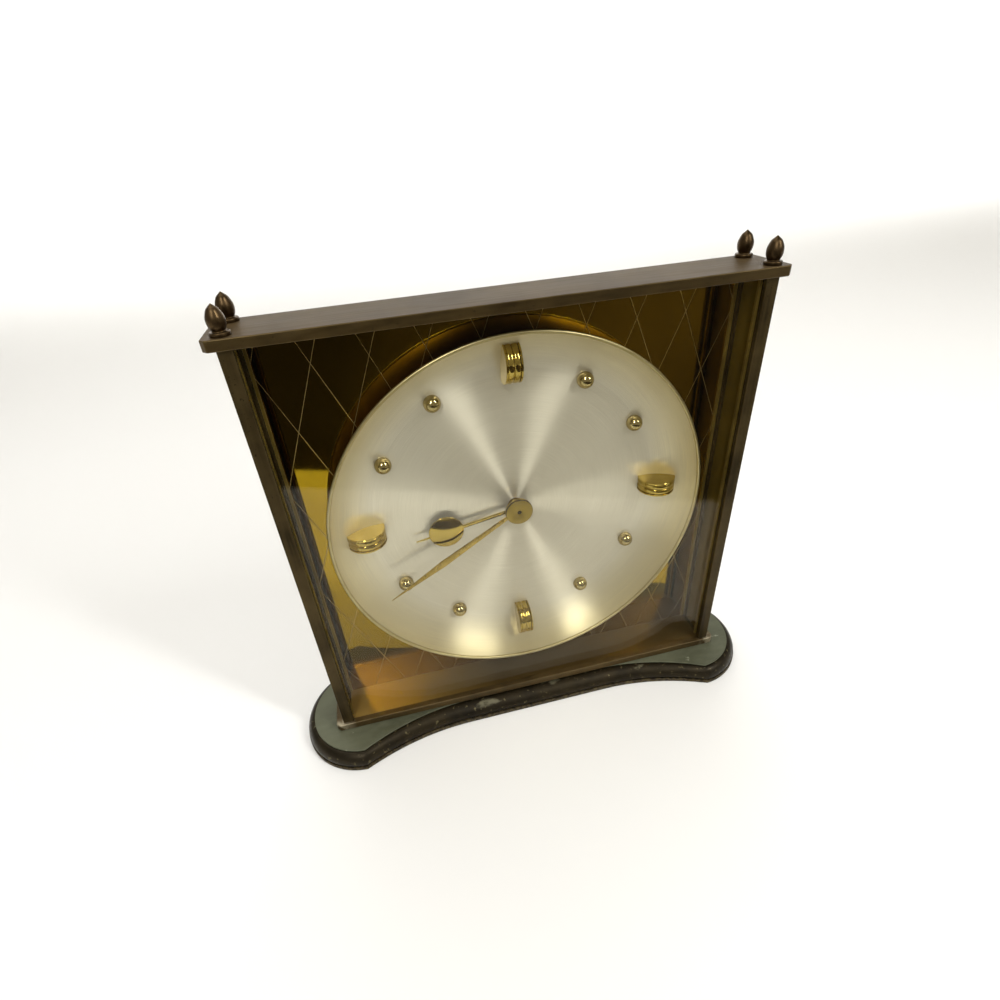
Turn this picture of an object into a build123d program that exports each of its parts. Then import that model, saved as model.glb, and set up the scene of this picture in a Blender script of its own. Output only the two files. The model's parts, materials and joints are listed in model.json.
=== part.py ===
from build123d import *
import math
import os

# A brass and glass mantel clock. Lengths are in millimetres, angles in degrees.
# X is the width, +Y runs from the dial to the back, +Z is up.
# The origin is the middle of the base's underside.

# Base: rounded ends joined by a drawn-in waist, under a flat panel
BASE_LOBE_R = 27.5
BASE_LOBE_IN = 9.3
BASE_WAIST = 16.8
BASE_STRAIGHT = 33.0
BASE_STRIP = 2.0
BASE_BEAD = 5.7
BASE_CORNER_TURN = 3.0
PANEL_LOBE_R = 23.4
PANEL_WAIST = 10.4
PANEL_STRAIGHT = 30.0
PANEL_T = 0.8
# Each step of the moulding: how far it is drawn in towards the panel, and how high it is
MOULDING_SHARES = ((0.16, 0.0), (0.10, 0.32), (0.36, 0.74), (0.88, 1.0))

# Case: two plates held apart by four rebated corner posts, with room for the dial
ROOM_BESIDE = 14.7
ROOM_BELOW = 11.7
ROOM_ABOVE = 9.1
CASE_HALF_D = 10.2
POST_W = 4.6
POST_D = 5.0
POST_CORE = 3.5
POST_LIP = 1.6
PLATE_T = 3.5
PLATE_CLIP = 1.5
TOP_OVER_X = 3.4
TOP_OVER_Y = 1.8
BOTTOM_OVER_X = 3.3
BOTTOM_OVER_Y = 1.0
PANE_GAP = 0.15
GLASS_T = 2.0
PANE_BEAD = 1.0
SIDE_T = 1.0
SIDE_INSET = 1.1
SIDE_SLOT = 1.4
SIDE_GAP = 0.05
BACK_T = 1.2

# Studs of the finials and screws of the base, on the axis of each post
STUD_IN = 2.2
STUD_R = 0.9
STUD_L = 9.5
FIT_GAP = 0.05
BASE_SCREW_L = 18.0
BASE_HEAD_R = 2.2
BASE_HEAD_H = 1.4
BASE_HEAD_SUNK = 0.6
HEAD_GAP = 0.3

# Finial: a collar with a sloped top, a short neck, and an acorn that ends in a blunt point
COLLAR_R = 3.0
COLLAR_H = 1.3
COLLAR_WALL = 0.75
COLLAR_SLOPE = 0.45
NECK_R = 2.0
NECK_H = 0.3
ACORN_R = 2.7
ACORN_H = 7.25
ACORN_WIDEST_SHARE = 0.36
SHOULDER_R_SHARE = 0.64
SHOULDER_RISE_SHARE = 0.79
ACORN_FOOT_LEAN = (1, 1.6)
ACORN_TIP_LEAN = (-1.3, 1)

# Dial: a spun dish that sits in the round window of the back plate
DIAL_R = 75.0
DIAL_T = 0.8
DISH_W = 18.0
FACE_INSET = 0.7
DISH_DEPTH = 13.5
RIM_BEAD_R = 0.7
WINDOW_GAP = 0.95
PIPE_HOLE_GAP = 0.6

# Hour marks: polished balls, and ribbed half rollers at the quarters
MARK_OUT = 1.5
BALL_R = 3.3
BALL_RISE = 1.05
ROLLER_OUT = 5.4
ROLLER_R = 7.85
ROLLER_RISE = 9.9
ROLLER_L = 6.2
ROLLER_EDGE = 0.7
ROLLER_GROOVE = 0.5
MARK_PIN_R = 0.7

# Hands, showing about twenty to nine
MINUTE_ANGLE = 243.6
HOUR_ANGLE = 260.3
HAND_T = 0.5
MINUTE_RISE = 4.8
MINUTE_SHORT = 10.5
MINUTE_HALF_W = 1.6
MINUTE_ROOT_W = 0.8
MINUTE_WIDEST_SHARE = 0.55
MINUTE_BEND = 5.8
MINUTE_BEND_GAP = 0.3
HUB_R = 5.7
HUB_BOSS_T = 1.0
NUT_T = 1.0
NUT_HOLE_R = 0.9
NUT_HOLE_DEEP = 0.6
NUT_EDGE = 0.25
HOUR_RISE = 2.6
HOUR_SHORT = 31.0
HOUR_HALF_W = 0.8
HOUR_TIP_W = 0.25
HOUR_BOSS_R = 4.6
HOUR_DISC_R = 7.3
HOUR_TIP_L = 13.0
HOUR_DISC_T = 1.5
HOUR_DISC_EDGE = 0.7

# Carrier: the shallow pan that holds the dial in front and the works behind
CARRIER_LAP = 5.8
CARRIER_GAP = 1.2
CARRIER_T = 1.0
CARRIER_SCREWS = 6
SMALL_SCREW_R = 0.8
SMALL_HEAD_R = 1.7
SMALL_HEAD_H = 1.0
SMALL_SLOT_W = 0.5
SMALL_SLOT_DEEP = 0.4

# Works: two round plates on pillars, inside a drum closed by a cover
MOTION_GAP = 5.0
WORK_PLATE_T = 1.5
WORK_PLATE_R = 34.0
TRAIN_GAP = 14.0
ESCAPE_GAP = 7.4
PILLAR_R = 2.2
PILLAR_PCR = 30.0
BARREL_PILLAR_LEADS = (-46.5, 48.5)
MINUTE_PILLAR_LEADS = (-50, 35)
PILLAR_SCREW_L = 6.0
DRUM_R = 38.5
DRUM_T = 1.0
DRUM_FLANGE_R = 43.0
DRUM_SCREW_ANGLES = (45, 135, 225, 315)
COVER_T = 1.0
COVER_SKIRT = 3.0
COVER_EDGE = 0.6
END_SHAKE = 0.5
PIVOT_GAP = 0.05

# Wheels: teeth, modules and the way from one axis to the next
HALF_TURN = 180
FULL_TURN = 360
ADDENDUM_SHARE = 0.9
DEDENDUM_SHARE = 1.25
TOOTH_ROOT_SHARE = 0.26
TOOTH_TIP_SHARE = 0.09
WHEEL_T = 1.0
PINION_OVER = 0.3
CANNON_TEETH = 12
MINUTE_TEETH = 36
MINUTE_PINION_TEETH = 10
HOUR_TEETH = 40
HOUR_REACH = 12.5
MINUTE_LEAD = 203.5
SET_LEAD = 90
BARREL_TEETH = 60
CENTRE_PINION_TEETH = 10
BARREL_REACH = 16.8
BARREL_WAY = 216.5
CENTRE_TEETH = 60
THIRD_PINION_TEETH = 8
THIRD_TEETH = 60
THIRD_REACH = 13.6
THIRD_WHEEL_R = 11.1
THIRD_LEAD = 98.5
SPOKES = 4
SPOKE_W = 1.8
WHEEL_RIM_SHARE = 0.80
WHEEL_HUB_SHARE = 0.30

# Arbors and pipes
CENTRE_ARBOR_R = 1.2
CANNON_R = 2.0
HOUR_PIPE_R = 2.9
STUD_WHEEL_R = 1.0
THIRD_ARBOR_R = 0.9
SET_ARBOR_R = 1.2
PIVOT_R = 0.6

# Barrel, mainspring, ratchet and click
BARREL_L = 9.0
BARREL_DRUM_R = 13.2
BARREL_WALL = 0.8
BARREL_RIM_T = 1.6
BARREL_ARBOR_R = 2.0
BARREL_CORE_R = 4.0
SPRING_T = 0.45
SPRING_TURNS = 6
SPRING_GAP = 0.3
RATCHET_R = 8.6
RATCHET_TOOTH_H = 1.1
RATCHET_TEETH = 24
RATCHET_T = 1.4
CLICK_LEAD = -52.5
CLICK_REACH = 13.6
CLICK_R = 1.7
CLICK_PIN_R = 0.8
CLICK_LEAN = 32
CLICK_NOSE_W = 0.5
CLICK_GAP = 0.2

# Winding key and setting knob, behind the cover
KEY_GAP = 1.5
KEY_TUBE_R = 3.4
KEY_TUBE_L = 9.0
KEY_WING_R = 5.4
KEY_WING_OUT = 6.2
KEY_WING_HOLE_R = 2.4
KEY_WING_T = 2.2
ARBOR_SQUARE = 2.6
ARBOR_OUT = 8.0
SQUARE_GAP = 0.05
KNOB_R = 4.6
KNOB_L = 5.0
KNOB_RIBS = 24
KNOB_RIB_H = 0.4
COVER_HOLE_GAP = 0.5

# Escapement platform, balance and regulator
PLATFORM_REACH = 17.36
PLATFORM_LEAD = -11.5
PLATFORM_R = 9.6
PLATFORM_T = 1.8
BALANCE_R = 7.6
BALANCE_RIM = 1.2
BALANCE_T = 1.0
BALANCE_UP = 0.7
STAFF_R = 0.5
JEWEL_R = 1.2
COCK_UP = 1.6
COCK_T = 1.0
COCK_W = 4.0
COCK_FOOT_R = 2.0
COCK_LEAD = -8.5
HAIRSPRING_T = 0.2
HAIRSPRING_W = 0.4
HAIRSPRING_TURNS = 4
HAIRSPRING_R = 4.6
REGULATOR_R = 2.2
REGULATOR_T = 0.5
REGULATOR_TAIL = 9.0
REGULATOR_W = 1.4
REGULATOR_PIN_R = 0.6
REGULATOR_PIN_OUT = 1.4
REGULATOR_LEAD = 76.5
REGULATOR_SWING = 25
REGULATOR_SLOT_GAP = 0.5
OVERRUN = 2.0

# Widths and heights, built out from the dial
CASE_HALF_W = DIAL_R + ROOM_BESIDE
BASE_LOBE_X = CASE_HALF_W - BASE_LOBE_IN
POST_H = ROOM_BELOW + 2 * DIAL_R + ROOM_ABOVE
BASE_TOP = BASE_STRIP + BASE_BEAD
CASE_FOOT = BASE_TOP + PANEL_T
POST_FOOT = CASE_FOOT + PLATE_T
POST_TOP = POST_FOOT + POST_H
CASE_TOP = POST_TOP + PLATE_T
DIAL_Z = POST_FOOT + ROOM_BELOW + DIAL_R
FACE_R = DIAL_R - DISH_W
MARK_R = FACE_R + MARK_OUT
ROLLER_REACH = FACE_R + ROLLER_OUT
MINUTE_BEND_X = HUB_R + MINUTE_BEND_GAP
MINUTE_L = DIAL_R - MINUTE_SHORT - MINUTE_BEND_X
HOUR_L = DIAL_R - HOUR_SHORT
HOUR_DISC_X = HOUR_L - HOUR_TIP_L
CENTRE = (0, 0)

# Depths, from the glass to the back
GLASS_FRONT = POST_LIP - CASE_HALF_D
GLASS_REAR = GLASS_FRONT + GLASS_T
BACK_REAR = CASE_HALF_D - POST_LIP
BACK_FRONT = BACK_REAR - BACK_T
FACE_Y = CASE_HALF_D - FACE_INSET
DIAL_REAR = FACE_Y + DIAL_T
FLOOR_REAR = DIAL_REAR + CARRIER_T
FRONT_PLATE_FRONT = FLOOR_REAR + MOTION_GAP
FRONT_PLATE_REAR = FRONT_PLATE_FRONT + WORK_PLATE_T
REAR_PLATE_FRONT = FRONT_PLATE_REAR + TRAIN_GAP
REAR_PLATE_REAR = REAR_PLATE_FRONT + WORK_PLATE_T
DRUM_REAR = REAR_PLATE_REAR + ESCAPE_GAP
COVER_REAR = DRUM_REAR + COVER_T
MINUTE_REAR = FACE_Y - MINUTE_RISE
MINUTE_FRONT = MINUTE_REAR - HAND_T
HOUR_REAR = FACE_Y - HOUR_RISE
HOUR_FRONT = HOUR_REAR - HAND_T

# Layers of the wheels
HOUR_WHEEL_FRONT = FLOOR_REAR + END_SHAKE
HOUR_WHEEL_REAR = HOUR_WHEEL_FRONT + WHEEL_T
MINUTE_WHEEL_REAR = FRONT_PLATE_FRONT - END_SHAKE - PINION_OVER
MINUTE_WHEEL_FRONT = MINUTE_WHEEL_REAR - WHEEL_T
BARREL_FRONT = FRONT_PLATE_REAR + END_SHAKE
BARREL_REAR = BARREL_FRONT + BARREL_L
SPRING_FRONT = BARREL_FRONT + BARREL_WALL + SPRING_GAP
SPRING_REAR = BARREL_REAR - BARREL_WALL - SPRING_GAP
CENTRE_WHEEL_FRONT = BARREL_REAR + END_SHAKE
CENTRE_WHEEL_REAR = CENTRE_WHEEL_FRONT + WHEEL_T
RATCHET_FRONT = CENTRE_WHEEL_REAR + END_SHAKE
RATCHET_REAR = RATCHET_FRONT + RATCHET_T
PLATFORM_REAR = REAR_PLATE_REAR + PLATFORM_T
BALANCE_FRONT = PLATFORM_REAR + BALANCE_UP
BALANCE_REAR = BALANCE_FRONT + BALANCE_T
COCK_FRONT = BALANCE_REAR + COCK_UP
COCK_REAR = COCK_FRONT + COCK_T
HAIRSPRING_FRONT = BALANCE_REAR + (COCK_UP - HAIRSPRING_W) / 2


def polar(radius, angle):
    """A point at a radius, turned anticlockwise from the right as the viewer sees it."""
    return (radius * math.cos(math.radians(angle)), radius * math.sin(math.radians(angle)))


def away(spot, reach, way):
    """The spot that lies a distance away in a direction."""
    step = polar(reach, way)
    return (spot[0] + step[0], spot[1] + step[1])


def mesh_module(reach, teeth, other_teeth):
    """Tooth size that meshes two wheels whose axes are a distance apart."""
    return 2 * reach / (teeth + other_teeth)


def meshed_turn(turn, teeth, other_teeth, way):
    """Turn of the second wheel that puts its gap on the first wheel's tooth along the line of centres."""
    lead = (turn - way) % (FULL_TURN / teeth)
    return way + HALF_TURN - lead * teeth / other_teeth + HALF_TURN / other_teeth


# Directions of the works, all turned with the barrel
MINUTE_WAY = BARREL_WAY + MINUTE_LEAD
SET_WAY = MINUTE_WAY + SET_LEAD
THIRD_WAY = BARREL_WAY + THIRD_LEAD
CLICK_WAY = BARREL_WAY + CLICK_LEAD
PLATFORM_WAY = MINUTE_WAY + PLATFORM_LEAD
COCK_WAY = PLATFORM_WAY + COCK_LEAD
REGULATOR_WAY = PLATFORM_WAY + REGULATOR_LEAD

# Axes of the works, counted from the dial's centre, and the tooth sizes that mesh them
HOUR_MODULE = mesh_module(HOUR_REACH, HOUR_TEETH, MINUTE_PINION_TEETH)
MOTION_MODULE = mesh_module(HOUR_REACH, CANNON_TEETH, MINUTE_TEETH)
BARREL_MODULE = mesh_module(BARREL_REACH, BARREL_TEETH, CENTRE_PINION_TEETH)
TRAIN_MODULE = mesh_module(THIRD_REACH, CENTRE_TEETH, THIRD_PINION_TEETH)
THIRD_MODULE = 2 * THIRD_WHEEL_R / THIRD_TEETH
MINUTE_SPOT = away(CENTRE, HOUR_REACH, MINUTE_WAY)
SET_SPOT = away(MINUTE_SPOT, HOUR_REACH, SET_WAY)
BARREL_SPOT = away(CENTRE, BARREL_REACH, BARREL_WAY)
THIRD_SPOT = away(CENTRE, THIRD_REACH, THIRD_WAY)
CLICK_SPOT = away(BARREL_SPOT, CLICK_REACH, CLICK_WAY)
BALANCE_SPOT = away(CENTRE, PLATFORM_REACH, PLATFORM_WAY)
COCK_FOOT_SPOT = away(BALANCE_SPOT, PLATFORM_R + COCK_FOOT_R + HEAD_GAP, COCK_WAY)
REGULATOR_PIN_SPOT = away(BALANCE_SPOT, REGULATOR_TAIL, REGULATOR_WAY)
PILLAR_WAYS = tuple(BARREL_WAY + lead for lead in BARREL_PILLAR_LEADS)
PILLAR_WAYS += tuple(MINUTE_WAY + lead for lead in MINUTE_PILLAR_LEADS)
PILLAR_SPOTS = tuple(away(CENTRE, PILLAR_PCR, way) for way in PILLAR_WAYS)
MARK_ANGLES = tuple(range(0, FULL_TURN, FULL_TURN // 12))
ROLLER_ANGLES = MARK_ANGLES[::3]
BALL_ANGLES = tuple(angle for angle in MARK_ANGLES if angle not in ROLLER_ANGLES)
POST_SIDES = {"front_left": (-1, -1), "front_right": (1, -1), "rear_left": (-1, 1), "rear_right": (1, 1)}

# The dish's flange is one arc from the flat face to the rim
DISH_TURN = 2 * math.atan2(DISH_DEPTH, DIAL_R - FACE_R)
DISH_ARC_R = (DIAL_R - FACE_R) / math.sin(DISH_TURN)
DISH_ARC_Y = FACE_Y - DISH_ARC_R


def dish_back_r(depth):
    """Radius of the dish's back surface at a depth."""
    rise = depth - DISH_ARC_Y
    back_r = DISH_ARC_R + DIAL_T
    return FACE_R + math.sqrt(back_r * back_r - rise * rise)


WINDOW_R = dish_back_r(BACK_FRONT) + WINDOW_GAP
CARRIER_R = WINDOW_R + CARRIER_LAP
CARRIER_STEP_R = dish_back_r(BACK_REAR) + CARRIER_GAP
CARRIER_SCREW_PCR = (WINDOW_R + CARRIER_R) / 2


def facing(x, y, z):
    """A drawing plane that faces the viewer: its x is the width and its y the height."""
    return Plane(origin=(x, y, z), x_dir=(1, 0, 0), z_dir=(0, -1, 0))


def slab(outline, front, rear, spot=CENTRE, turn=0):
    """An outline seen from the front, between two depths, at a spot counted from the dial's centre."""
    drawing = facing(spot[0], rear, DIAL_Z + spot[1]) * Rot(0, 0, turn) * outline
    return extrude(drawing, amount=rear - front)


def rod(radius, front, rear, spot=CENTRE):
    """A round bar along the depth."""
    return slab(Circle(radius), front, rear, spot)


def bore(radius, front, rear, spot=CENTRE):
    """The space of a hole that runs past both faces of a plate."""
    return rod(radius, front - OVERRUN, rear + OVERRUN, spot)


def tube(outer, inner, front, rear, spot=CENTRE):
    """A pipe or ring along the depth."""
    return rod(outer, front, rear, spot) - bore(inner, front, rear, spot)


def toothed(teeth, module, front, rear, spot=CENTRE, turn=0):
    """A wheel blank with straight-flanked teeth, one of them at the given turn."""
    pitch = FULL_TURN / teeth
    tip = module * (teeth / 2 + ADDENDUM_SHARE)
    root = module * (teeth / 2 - DEDENDUM_SHARE)
    corners = (
        (root, -TOOTH_ROOT_SHARE),
        (tip, -TOOTH_TIP_SHARE),
        (tip, TOOTH_TIP_SHARE),
        (root, TOOTH_ROOT_SHARE),
    )
    points = []
    for tooth in range(teeth):
        points += [polar(radius, (tooth + share) * pitch) for radius, share in corners]
    return slab(make_face(Polyline(*points, close=True)), front, rear, spot, turn)


def spoked(teeth, module, front, rear, spot=CENTRE, turn=0):
    """A toothed wheel crossed out to a rim, a hub and spokes."""
    radius = module * teeth / 2
    window = Circle(radius * WHEEL_RIM_SHARE) - Circle(radius * WHEEL_HUB_SHARE)
    for spoke in range(SPOKES // 2):
        bar = Rectangle(2 * radius, SPOKE_W)
        window -= Rot(0, 0, spoke * FULL_TURN / SPOKES) * bar
    blank = toothed(teeth, module, front, rear, spot, turn)
    return blank - slab(window, front - OVERRUN, rear + OVERRUN, spot, turn)


def screw(length, head_front, spot):
    """A small slotted cheese-head screw driven from the back, its head resting on a face."""
    shank = rod(SMALL_SCREW_R, head_front - length, head_front, spot)
    head = rod(SMALL_HEAD_R, head_front, head_front + SMALL_HEAD_H, spot)
    slot = slab(
        Rectangle(2 * SMALL_HEAD_R + OVERRUN, SMALL_SLOT_W),
        head_front + SMALL_HEAD_H - SMALL_SLOT_DEEP,
        head_front + SMALL_HEAD_H + OVERRUN,
        spot,
    )
    return shank + head - slot


def base_outline(share):
    """Plan of the base: lobes and waist, drawn in by a share of the way to the panel's own outline."""
    lobe = BASE_LOBE_R + (PANEL_LOBE_R - BASE_LOBE_R) * share
    waist = BASE_WAIST + (PANEL_WAIST - BASE_WAIST) * share
    straight = BASE_STRAIGHT + (PANEL_STRAIGHT - BASE_STRAIGHT) * share
    lean = math.radians(BASE_CORNER_TURN)
    corner_x = BASE_LOBE_X + lobe * math.sin(lean)
    corner_y = lobe * math.cos(lean)
    run = corner_x - straight
    drop = corner_y - waist
    hollow_r = (run * run + drop * drop) / (2 * drop)
    half_angle = math.asin(run / hollow_r) / 2
    middle_x = straight + hollow_r * math.sin(half_angle)
    middle_y = waist + hollow_r * (1 - math.cos(half_angle))
    end_x = BASE_LOBE_X + lobe
    edges = []
    for side in (-1, 1):
        edges.append(Line((-straight, side * waist), (straight, side * waist)))
        edges.append(
            ThreePointArc((side * corner_x, -corner_y), (side * end_x, 0), (side * corner_x, corner_y))
        )
        for end in (-1, 1):
            edges.append(
                ThreePointArc(
                    (end * straight, side * waist),
                    (end * middle_x, side * middle_y),
                    (end * corner_x, side * corner_y),
                )
            )
    return make_face(edges)


def post_axis(name):
    """Plan position of a post's stud."""
    side, face = POST_SIDES[name]
    return (side * (CASE_HALF_W - STUD_IN), face * (CASE_HALF_D - STUD_IN))


def upright(radius, low, high, name):
    """A round bar on the axis of a post."""
    x, y = post_axis(name)
    return extrude(Pos(x, y, low) * Circle(radius), amount=high - low)


def on_posts(radius, low, high):
    """The same upright bar on all four posts."""
    return [upright(radius, low, high, name) for name in POST_SIDES]


def base_plate():
    """Cast base: a plain strip at the foot and a rounded moulding drawn in to the panel."""
    strip = extrude(base_outline(0), amount=BASE_STRIP)
    steps = [Pos(0, 0, BASE_STRIP + up * BASE_BEAD) * base_outline(share) for share, up in MOULDING_SHARES]
    body = strip + loft(steps)
    body -= on_posts(STUD_R + FIT_GAP, -OVERRUN, BASE_TOP + OVERRUN)
    return body - on_posts(BASE_HEAD_R + HEAD_GAP, -OVERRUN, BASE_HEAD_SUNK + BASE_HEAD_H)


def base_panel():
    """Flat panel let onto the top of the base."""
    panel = extrude(Pos(0, 0, BASE_TOP) * base_outline(1), amount=PANEL_T)
    return panel - on_posts(STUD_R + FIT_GAP, BASE_TOP - OVERRUN, CASE_FOOT + OVERRUN)


def case_plate(over_x, over_y, low):
    """A plate of the case, with clipped corners and a hole over each post."""
    outline = Rectangle(2 * (CASE_HALF_W + over_x), 2 * (CASE_HALF_D + over_y))
    outline = chamfer(outline.vertices(), PLATE_CLIP)
    plate = extrude(Pos(0, 0, low) * outline, amount=PLATE_T)
    return plate - on_posts(STUD_R + FIT_GAP, low - OVERRUN, low + PLATE_T + OVERRUN)


def post(name):
    """Corner post: a square core with a lip that the glass or the back plate lies against."""
    side, face = POST_SIDES[name]
    core = Pos(CASE_HALF_W - POST_CORE / 2, CASE_HALF_D - POST_D / 2) * Rectangle(POST_CORE, POST_D)
    lip = Pos(CASE_HALF_W - POST_W / 2, CASE_HALF_D - POST_LIP / 2) * Rectangle(POST_W, POST_LIP)
    slot_x = CASE_HALF_W - SIDE_INSET - SIDE_T / 2
    slot_y = CASE_HALF_D - POST_D
    slot = Pos(slot_x, slot_y) * Rectangle(SIDE_T + 2 * SIDE_GAP, 2 * SIDE_SLOT)
    outline = core + lip - slot
    if side < 0:
        outline = mirror(outline, Plane.YZ)
    if face < 0:
        outline = mirror(outline, Plane.XZ)
    body = extrude(Pos(0, 0, POST_FOOT) * outline, amount=POST_H, dir=(0, 0, 1))
    foot_hole = BASE_SCREW_L + BASE_HEAD_SUNK + BASE_HEAD_H + FIT_GAP
    body -= upright(STUD_R + FIT_GAP, POST_FOOT - OVERRUN, foot_hole, name)
    return body - upright(STUD_R + FIT_GAP, CASE_TOP - STUD_L - FIT_GAP, POST_TOP + OVERRUN, name)


def finial(name):
    """Turned acorn on a collar, with the stud that draws the top plate onto the post."""
    x, y = post_axis(name)
    neck_z = COLLAR_H + NECK_H
    tip_z = neck_z + ACORN_H
    widest = (ACORN_R, neck_z + ACORN_H * ACORN_WIDEST_SHARE)
    nut = Polyline(
        (0, tip_z),
        (0, -STUD_L),
        (STUD_R, -STUD_L),
        (STUD_R, 0),
        (COLLAR_R, 0),
        (COLLAR_R, COLLAR_WALL),
        (COLLAR_R - COLLAR_SLOPE, COLLAR_H),
        (NECK_R, COLLAR_H),
        (NECK_R, neck_z),
    )
    shoulder = (ACORN_R * SHOULDER_R_SHARE, neck_z + ACORN_H * SHOULDER_RISE_SHARE)
    leans = (ACORN_FOOT_LEAN, ACORN_TIP_LEAN)
    acorn = Spline((NECK_R, neck_z), widest, shoulder, (0, tip_z), tangents=leans)
    profile = Plane.XZ * make_face(nut + acorn)
    return Pos(x, y, CASE_TOP) * revolve(profile, Axis.Z)


def base_screws():
    """Four screws driven up through the base and the bottom plate into the posts."""
    head_low = BASE_HEAD_SUNK
    head_high = BASE_HEAD_SUNK + BASE_HEAD_H
    screws = []
    for name in POST_SIDES:
        shank = upright(STUD_R, head_high, head_high + BASE_SCREW_L, name)
        screws.append(shank + upright(BASE_HEAD_R, head_low, head_high, name))
    return Compound(children=screws)


def upright_pane(half_w, front, rear):
    """A sheet that stands between the bottom plate and the top plate, square to the depth."""
    height = POST_H - 2 * PANE_GAP
    middle = POST_FOOT + POST_H / 2 - DIAL_Z
    return slab(Rectangle(2 * half_w, height), front, rear, (0, middle))


def front_glass():
    """Pane behind the lips of the two front posts, with its edges ground off."""
    pane = upright_pane(CASE_HALF_W - POST_CORE - PANE_GAP, GLASS_FRONT, GLASS_REAR)
    return chamfer(pane.edges().filter_by(Axis.Y), PANE_GAP)


def pane_beads(front):
    """Two square beads beside the posts that hold a pane or plate against the lips."""
    x = CASE_HALF_W - POST_CORE - PANE_BEAD / 2
    bead = upright_pane(PANE_BEAD / 2, front, front + PANE_BEAD)
    return Compound(children=[Pos(side * x, 0, 0) * bead for side in (-1, 1)])


def side_panel(side):
    """Thin brass sheet in the slots of a front and a rear post."""
    half_d = CASE_HALF_D - POST_D + SIDE_SLOT - SIDE_GAP
    x = CASE_HALF_W - SIDE_INSET - SIDE_T / 2
    panel = extrude(
        Pos(side * x, 0, POST_FOOT + PANE_GAP) * Rectangle(SIDE_T, 2 * half_d),
        amount=POST_H - 2 * PANE_GAP,
    )
    return panel


def carrier_spots():
    """Places of the screws that hold the carrier to the back plate."""
    return [away(CENTRE, CARRIER_SCREW_PCR, k * FULL_TURN / CARRIER_SCREWS) for k in range(CARRIER_SCREWS)]


def drum_spots():
    """Places of the screws that hold the drum to the carrier."""
    reach = (DRUM_R + DRUM_FLANGE_R) / 2
    return [away(CENTRE, reach, angle) for angle in DRUM_SCREW_ANGLES]


def back_plate():
    """Polished plate against the lips of the rear posts, with the dial's round window."""
    plate = upright_pane(CASE_HALF_W - POST_CORE - PANE_GAP, BACK_FRONT, BACK_REAR)
    plate -= bore(WINDOW_R, BACK_FRONT, BACK_REAR)
    return plate - [bore(SMALL_SCREW_R + FIT_GAP, BACK_FRONT, BACK_REAR, spot) for spot in carrier_spots()]


def dish_profile(inner_r):
    """Half section of the spun dish: flat face, flange arc, and the same again one thickness behind."""
    sine = math.sin(DISH_TURN)
    cosine = math.cos(DISH_TURN)
    half_sine = math.sin(DISH_TURN / 2)
    half_cosine = math.cos(DISH_TURN / 2)
    back_r = DISH_ARC_R + DIAL_T
    rim = (FACE_R + DISH_ARC_R * sine, DISH_ARC_Y + DISH_ARC_R * cosine)
    rim_back = (FACE_R + back_r * sine, DISH_ARC_Y + back_r * cosine)
    front_middle = (FACE_R + DISH_ARC_R * half_sine, DISH_ARC_Y + DISH_ARC_R * half_cosine)
    back_middle = (FACE_R + back_r * half_sine, DISH_ARC_Y + back_r * half_cosine)
    edges = [
        Line((inner_r, FACE_Y), (FACE_R, FACE_Y)),
        ThreePointArc((FACE_R, FACE_Y), front_middle, rim),
        Line(rim, rim_back),
        ThreePointArc(rim_back, back_middle, (FACE_R, DIAL_REAR)),
        Line((FACE_R, DIAL_REAR), (inner_r, DIAL_REAR)),
        Line((inner_r, DIAL_REAR), (inner_r, FACE_Y)),
    ]
    return make_face(edges), rim, rim_back


def spin(profile):
    """A half section turned about the dial's axis."""
    return Pos(0, 0, DIAL_Z) * revolve(profile, Axis.Y)


def mark_spot(reach, angle):
    """Place of an hour mark at a distance from the hub, clockwise from the top."""
    turn = math.radians(angle)
    return (reach * math.sin(turn), reach * math.cos(turn))


def mark_pins(radius, front, rear, reach, angles):
    """Pins that hold the hour marks, through the dial."""
    return [rod(radius, front, rear, mark_spot(reach, angle)) for angle in angles]


def dial():
    """Spun dish with a rolled bead at the rim and a hole for each mark."""
    profile, rim, rim_back = dish_profile(HOUR_PIPE_R + PIPE_HOLE_GAP)
    bead_at = ((rim[0] + rim_back[0]) / 2, (rim[1] + rim_back[1]) / 2)
    body = spin(profile) + spin(Pos(*bead_at) * Circle(RIM_BEAD_R))
    hole_r = MARK_PIN_R + FIT_GAP
    body -= mark_pins(hole_r, FACE_Y - OVERRUN, DIAL_REAR + OVERRUN, MARK_R, BALL_ANGLES)
    return body - mark_pins(hole_r, FACE_Y - OVERRUN, DIAL_REAR + OVERRUN, ROLLER_REACH, ROLLER_ANGLES)


def dish_space():
    """Everything behind the dial's front face, to seat the marks on it."""
    rim = (FACE_R + DISH_ARC_R * math.sin(DISH_TURN), DISH_ARC_Y + DISH_ARC_R * math.cos(DISH_TURN))
    middle = (
        FACE_R + DISH_ARC_R * math.sin(DISH_TURN / 2),
        DISH_ARC_Y + DISH_ARC_R * math.cos(DISH_TURN / 2),
    )
    edges = [
        Line((0, FACE_Y), (FACE_R, FACE_Y)),
        ThreePointArc((FACE_R, FACE_Y), middle, rim),
        Line(rim, (rim[0], FACE_Y + 2 * ROLLER_R)),
        Line((rim[0], FACE_Y + 2 * ROLLER_R), (0, FACE_Y + 2 * ROLLER_R)),
        Line((0, FACE_Y + 2 * ROLLER_R), (0, FACE_Y)),
    ]
    return spin(make_face(edges))


def hour_balls():
    """Polished balls at the plain hours, cut to the dial's face and pinned through it."""
    behind = dish_space()
    balls = []
    for angle in BALL_ANGLES:
        x, z = mark_spot(MARK_R, angle)
        ball = Pos(x, FACE_Y - BALL_RISE, DIAL_Z + z) * Sphere(BALL_R)
        balls.append(ball - behind + rod(MARK_PIN_R, FACE_Y - BALL_RISE, DIAL_REAR, (x, z)))
    return Compound(children=balls)


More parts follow.
